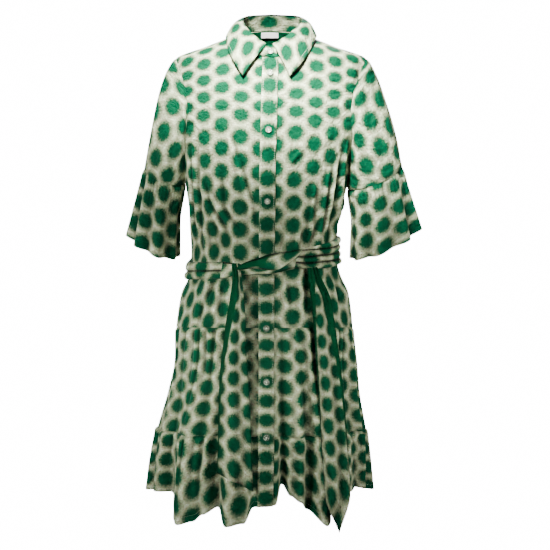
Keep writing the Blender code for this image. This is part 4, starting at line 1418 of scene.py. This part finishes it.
def left_strip(x, y, z):
    """The left end's side edge has rolled forward in a strip that narrows to its foot."""
    return strip(x - read(LEFT_TAIL, "near_x", z), read(STRIPS, "left", z))


def right_strip(x, y, z):
    """The right end's two side edges have both rolled forward, the far one the widest."""
    near = strip(x - read(RIGHT_TAIL, "near_x", z), read(STRIPS, "right_near", z))
    far = strip(read(RIGHT_TAIL, "far_x", z) - x, read(STRIPS, "right_far", z))
    return np.maximum(near, far)


def upper_reverse(x, y, z):
    """The upper strand shows its reverse along its top, up to the middle."""
    middle = read(UPPER_STRAND, "z", x)
    return ease((-2 - x + 0.6 * (z - middle)) / 9) * ease((z - middle + 7) / 3)


make_sash_band()
make_strand("cloth_strand_lower", LOWER_STRAND, 4, 8)
make_strand("cloth_strand_upper", UPPER_STRAND, 3, -14, upper_reverse)
make_tail("left", LEFT_TAIL, 0, (0.058, 0.385), left_strip)
make_tail("right", RIGHT_TAIL, 12, (0.052, 0.42), right_strip)

# ------------------------------------------------------------------------------------------------
# The stitching: a pale polyester thread, in rows down both sides of the placket, round the collar's
# leaf, and along the ruffle's turned-up hem.
# ------------------------------------------------------------------------------------------------
STITCH_STEP = 3.1
STITCH_LONG = 2.3
STITCH_HALF = (0.24, 0.3)  # half its width, and how far it stands up from the cloth
STITCHED = (-46, HEM + 2)  # the placket's rows start and end at these levels
HEM_TURN = 9
LINE_POINTS = 1600  # a row is measured at so many points
THREAD = paint(206, 208, 184)
THREAD_SHADE = paint(168, 172, 146)


def thread_material():
    """Twisted thread, with painted shade between its strands."""
    made, tree, shader = new_material("sewing_thread")
    inputs = {"Vector": node(tree, "ShaderNodeTexCoord").outputs["Object"], "Scale": 900, "Distortion": 2}
    twist = node(tree, "ShaderNodeTexWave", inputs, bands_direction="DIAGONAL").outputs["Fac"]
    set_inputs(tree, shader, {"Base Color": mixed(tree, twist, THREAD_SHADE, THREAD), "Roughness": 0.5})
    return made


SEWING_THREAD = thread_material()


def add_stitches(mesh, line):
    """Stitches along a line, which gives the point at a share along it and at a height off the cloth."""
    shares = np.linspace(0, 1, LINE_POINTS)
    points = np.column_stack(line(shares, 0.0))
    outward = np.column_stack(line(shares, 1.0)) - points
    outward /= np.linalg.norm(outward, axis=1)[:, None]
    run = np.concatenate([[0], np.cumsum(np.linalg.norm(np.diff(points, axis=0), axis=1))])
    for start in np.arange(0, run[-1] - STITCH_LONG, STITCH_STEP):
        first, middle, last = (
            np.array([np.interp(start + part * STITCH_LONG, run, points[:, k]) for k in range(3)])
            for part in (0, 0.5, 1)
        )
        up = outward[np.searchsorted(run, start)]
        beside = np.cross(last - first, up) / np.linalg.norm(last - first) * STITCH_HALF[0]
        proud = up * STITCH_HALF[1]
        belt = [middle + beside, middle + proud, middle - beside, middle - proud]
        tips = [mesh.verts.new(tip * MM) for tip in (first, last)]
        ring = [mesh.verts.new(corner * MM) for corner in belt]
        for k in range(4):
            mesh.faces.new((tips[0], ring[k], ring[(k + 1) % 4]))
            mesh.faces.new((tips[1], ring[(k + 1) % 4], ring[k]))


def make_stitching():
    def placket_line(x_off):
        off = PLACKET_OFF + FREE_EDGE_LIFT * ease((x_off / PLACKET_WIDTH + 0.5 - FREE_EDGE[0]) / FREE_EDGE[1])
        return lambda share, up: placket_face(x_off, blend(*STITCHED, share), off - 0.5 + up)

    def hem_line(share, up):
        return body(360 * share, 0 * share + HEM + HEM_TURN, up + 0.1)

    def leaf_line(share, up):
        x, y, z = leaf_face(blend(0.02, 0.98, share), 0.1 + 0 * share)
        grown = 1 + (up + 0.2) / np.hypot(x, y)
        return x * grown, y * grown, z + 0.4 * up

    rows = {"placket": [placket_line(side * (PLACKET_WIDTH / 2 - STITCH_INSET)) for side in (-1, 1)]}
    rows |= {"hem": [hem_line], "collar": [leaf_line]}
    for name, lines in rows.items():
        mesh = bmesh.new()
        for line in lines:
            add_stitches(mesh, line)
        bmesh.ops.recalc_face_normals(mesh, faces=mesh.faces)
        show("stitching_" + name, mesh, SEWING_THREAD)


make_stitching()

# ------------------------------------------------------------------------------------------------
# The buttons: pearly discs with a raised rim and a dished middle, four holes shown as dark discs of
# painted shade, sewn on with a pale thread, one on the stand and seven down the placket, of which
# the sash hides one. A painted shadow darkens each rim's outer edge.
# ------------------------------------------------------------------------------------------------
BUTTON_HEIGHTS = (-69, -166, -289, -400, -514, -608, -704)
STAND_BUTTON = (3.5, -31)  # how far past the stand's bend, and its height
BUTTON_THICK = 2.4
BUTTON_PROFILE = table(
    "radius height",
    (0, 0.2),
    (2.2, 0.25),
    (3.1, 0.6),
    (3.7, 1.4),
    (4.2, 1.75),
    (4.9, 1.7),
    (5.5, 1.1),
    (5.75, 0.4),
    (5.6, -0.6),
    (4.9, -1.2),
    (0, -1.2),
)
BUTTON_ROUND = 28
BUTTON_RIM = 4.6  # beyond this radius the shell is painted dark, a painted shadow round its edge
BUTTON_LOOSE = 0.4  # how far the buttons' line stands off the placket
PLACKET_NECK = -42  # the level where that line ends
HOLE_OUT = 1.05 * math.sqrt(2)  # how far the holes' middles lie from the button's
HOLE_RADIUS = 0.55
HOLE_DEEP = 0.12
HOLE_LEVEL = 0.22
HOLE_ROUND = 10
HOLE_TURNS = [math.radians(45 + 90 * k) for k in range(4)]
THREAD_HALF = 0.3  # half the width of the sewing through the holes
THREAD_ARCH = 0.6  # and how high it rises between them
IN_HOLE_SHADE, IN_THREAD, IN_RIM_SHADOW = 1, 2, 3  # their places among a button's materials


def pearl_material():
    """Cloudy shell under a clear polish, thin enough for the cloth's dots to show through."""
    made, tree, shader = new_material("pearl_button")
    clouds = noise(tree, node(tree, "ShaderNodeTexCoord").outputs["Object"], 320)
    colour = mixed(tree, clouds, paint(70, 92, 68), paint(196, 206, 178))
    set_inputs(tree, shader, {"Base Color": colour, "Roughness": 0.2, "Coat Weight": 0.5, "Alpha": 0.55})
    return made


def plain_material(name, colour, roughness):
    """One colour with a fine grain, with painted shade in the grain's hollows."""
    made, tree, shader = new_material(name)
    grain = noise(tree, node(tree, "ShaderNodeTexCoord").outputs["Object"], 1500)
    darker = tuple(0.75 * part for part in colour[:3]) + (1,)
    surface = {"Base Color": mixed(tree, grain, darker, colour), "Normal": relief(tree, grain, 0.3, 0.2)}
    set_inputs(tree, shader, surface | {"Roughness": roughness})
    return made


PEARL = pearl_material()
# The buttons' rim is painted dark as a shadow round each edge, and their holes are dark discs of painted
# shade.
PEARL_RIM_SHADOW = plain_material("pearl_rim_shadow", paint(26, 40, 28), 0.5)
HOLE_SHADE = plain_material("button_hole_shade", paint(30, 38, 30), 0.9)
LABEL_SATIN = plain_material("label_satin", paint(236, 236, 232), 0.4)


def spun_disc(mesh):
    """Adds the button's profile, spun round the local Z axis."""
    outline = [mesh.verts.new((r * MM, 0, h * MM)) for r, h in zip(*BUTTON_PROFILE.values())]
    edges = [mesh.edges.new(pair) for pair in zip(outline, outline[1:])]
    centre, axis = (0, 0, 0), (0, 0, 1)
    bmesh.ops.spin(
        mesh, geom=outline + edges, cent=centre, axis=axis, angle=math.tau, steps=BUTTON_ROUND, use_merge=True
    )
    bmesh.ops.remove_doubles(mesh, verts=mesh.verts, dist=0.01 * MM)


def add_hole(mesh, turn):
    """Adds a dark disc to a button where a hole is: painted shade in place of an open hole."""
    size = {"radius1": HOLE_RADIUS * MM, "radius2": HOLE_RADIUS * MM, "depth": HOLE_DEEP * MM}
    made = bmesh.ops.create_cone(mesh, cap_ends=True, segments=HOLE_ROUND, **size)
    spot = Vector((HOLE_OUT * math.cos(turn), HOLE_OUT * math.sin(turn), HOLE_LEVEL)) * MM
    bmesh.ops.translate(mesh, verts=made["verts"], vec=spot)
    for face in {face for vert in made["verts"] for face in vert.link_faces}:
        face.material_index = IN_HOLE_SHADE


def add_thread(mesh, turn):
    """Adds the thread from one of a button's holes to the hole opposite."""
    across = np.array((math.cos(turn), math.sin(turn), 0)) * HOLE_OUT
    beside = np.array((-math.sin(turn), math.cos(turn), 0)) * THREAD_HALF
    rings = []
    for share in (0, 0.2, 0.5, 0.8, 1):
        height = HOLE_LEVEL + 0.03 + THREAD_ARCH * math.sin(math.pi * share)
        spot = blend(-across, across, share) + np.array((0, 0, height))
        rings.append([mesh.verts.new((spot + part) * MM) for part in (beside, (0, 0, THREAD_HALF), -beside)])
    for ring, following in zip(rings, rings[1:]):
        for k in range(2):
            face = mesh.faces.new((ring[k], ring[k + 1], following[k + 1], following[k]))
            face.material_index = IN_THREAD


def make_button(name, line, height):
    """A button at a height up a line of points, square to the face there."""
    k = int(np.searchsorted(line[:, 2], height))
    below, above = line[k - 1], line[k]
    slope = math.atan2(above[1] - below[1], above[2] - below[2])
    up = Vector((0, math.sin(slope), math.cos(slope)))
    outward = Vector((0, -math.cos(slope), math.sin(slope)))
    seat = Vector((*(np.interp(height, line[:, 2], line[:, axis]) for axis in (0, 1)), height))
    middle = seat + outward * (SEAM + BUTTON_THICK / 2)

    mesh = bmesh.new()
    spun_disc(mesh)
    for turn in HOLE_TURNS:
        add_hole(mesh, turn)
    for turn in HOLE_TURNS[:2]:
        add_thread(mesh, turn)
    bmesh.ops.recalc_face_normals(mesh, faces=mesh.faces)
    # Beyond the rim radius the shell takes the painted rim shadow.
    for face in mesh.faces:
        if face.material_index == 0 and face.calc_center_median().xy.length > BUTTON_RIM * MM:
            face.material_index = IN_RIM_SHADOW
    for corner in mesh.verts:
        x, y, z = corner.co
        corner.co = middle * MM + Vector((x, 0, 0)) + y * up + z * outward
    piece = show("pearl_" + name, mesh, PEARL, HOLE_SHADE, SEWING_THREAD, PEARL_RIM_SHADOW)
    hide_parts(name)


def make_buttons():
    levels = np.linspace(HEM, PLACKET_NECK, 600)
    placket = np.column_stack(placket_face(0, levels, PLACKET_OFF + BUTTON_LOOSE))
    for number, height in enumerate(BUTTON_HEIGHTS, 1):
        make_button(f"button_{number}", placket, height)
    across = (ROUND_NECK + 2 * STAND_BUTTON[0] / PLACKET_WIDTH) / (ROUND_NECK + 1)
    stand = np.column_stack(stand_face(np.full(2, across), np.array([0.0, 1.0])))
    make_button("button_stand", stand, STAND_BUTTON[1])


make_buttons()

# ------------------------------------------------------------------------------------------------
# The neck label: bare white woven satin, sewn inside the back of the neck.
# ------------------------------------------------------------------------------------------------
for part_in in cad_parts["neck_label"].material_slots:
    part_in.material = LABEL_SATIN

# ------------------------------------------------------------------------------------------------
# The floor, the lights and the camera. The floor and the walls are a pale studio's. A small key light
# stands high in front, at the viewer's left, with two low ones, large soft ones at the sides and behind
# and a soft spot on the chest. The camera is where the photographer stood. Lengths here are metres.
# ------------------------------------------------------------------------------------------------
FLOOR_LEVEL = -1.43
FLOOR_HALF = 8
FLOOR_GREY = (0.4, 0.4, 0.4, 1)
WHITE = (1, 1, 1, 1)
STUDIO_WHITE = 16  # how bright the studio looks
STUDIO_LIGHT = 0.1  # and how much light its walls throw on the dress
CAMERA_PLACE = (0.0083, -2.0, -0.12)
CAMERA_DOWN = math.radians(9.05)
CAMERA_LENS = 70.76  # in millimetres, as the sensor's width is
CAMERA_SENSOR = 36
AREA_LIGHTS = (  # name, place, aim, size, power and spread in degrees
    ("key", (-0.6, -0.75, 1.2), (0, 0, -0.4), 0.3, 2.4, 120),
    ("low_left", (-0.8, -0.75, -0.25), (0, 0, -0.64), 0.2, 2.3, 55),
    ("low_right", (0.8, -0.75, -0.25), (0, 0, -0.64), 0.2, 1.5, 55),
    ("fill_right", (1.3, -0.9, 0.3), (0, 0, -0.3), 0.9, 1.7, 160),
    ("fill_left", (-1.4, 0.3, 0.4), (0, 0, -0.3), 0.9, 6, 160),
    ("fill_back", (0.4, 1.5, 0.7), (0, 0, -0.3), 0.9, 24, 160),
)


def bright_behind(tree, dim, output):
    """Looked at straight, a stage surface is white as in a studio cut-out, but it lights the dress dimly."""
    white = node(tree, "ShaderNodeEmission", {"Color": WHITE, "Strength": STUDIO_WHITE}).outputs[0]
    straight = node(tree, "ShaderNodeLightPath").outputs["Is Camera Ray"]
    either = node(tree, "ShaderNodeMixShader", {0: straight, 1: dim.outputs[0], 2: white})
    set_inputs(tree, tree.nodes[output], {"Surface": either.outputs[0]})


def lamp(name, kind, place, aim, power, **settings):
    """A light at a place, turned to its aim."""
    light = bpy.data.lights.new(name, kind)
    light.energy = power
    for setting, value in settings.items():
        setattr(light, setting, value)
    made = put_in_scene(name, light)
    made.location = place
    made.rotation_euler = (Vector(aim) - made.location).to_track_quat("-Z", "Y").to_euler()
    return made


floor_mesh = bmesh.new()
bmesh.ops.create_grid(floor_mesh, x_segments=1, y_segments=1, size=FLOOR_HALF)
bmesh.ops.translate(floor_mesh, verts=floor_mesh.verts, vec=(0, 0, FLOOR_LEVEL))
floor_paint, floor_tree, floor_shader = new_material("pale_floor")
set_inputs(floor_tree, floor_shader, {"Base Color": FLOOR_GREY, "Roughness": 0.9})
bright_behind(floor_tree, floor_shader, "Material Output")
floor = put_in_scene("floor", mesh_data("floor", floor_mesh, floor_paint))

world = bpy.data.worlds.new("studio")
bpy.context.scene.world = world
world.use_nodes = True
walls = world.node_tree.nodes["Background"]
set_inputs(world.node_tree, walls, {"Color": WHITE, "Strength": STUDIO_LIGHT})
bright_behind(world.node_tree, walls, "World Output")

for name, place, aim, size, power, spread in AREA_LIGHTS:
    lamp(name, "AREA", place, aim, power, size=size, spread=math.radians(spread))
soft = {"spot_size": math.radians(13), "spot_blend": 1, "shadow_soft_size": 0.12}
spot = lamp("chest_spot", "SPOT", (-0.2, -0.95, 0.75), (0, -0.1, -0.04), 1900, **soft)
spot.scale = (2, 1, 1)

camera_data = bpy.data.cameras.new("camera")
camera_data.lens = CAMERA_LENS
camera_data.sensor_width = CAMERA_SENSOR
camera = put_in_scene("camera", camera_data)
camera.location = CAMERA_PLACE
camera.rotation_euler = (math.pi / 2 - CAMERA_DOWN, 0, 0)
bpy.context.scene.camera = camera
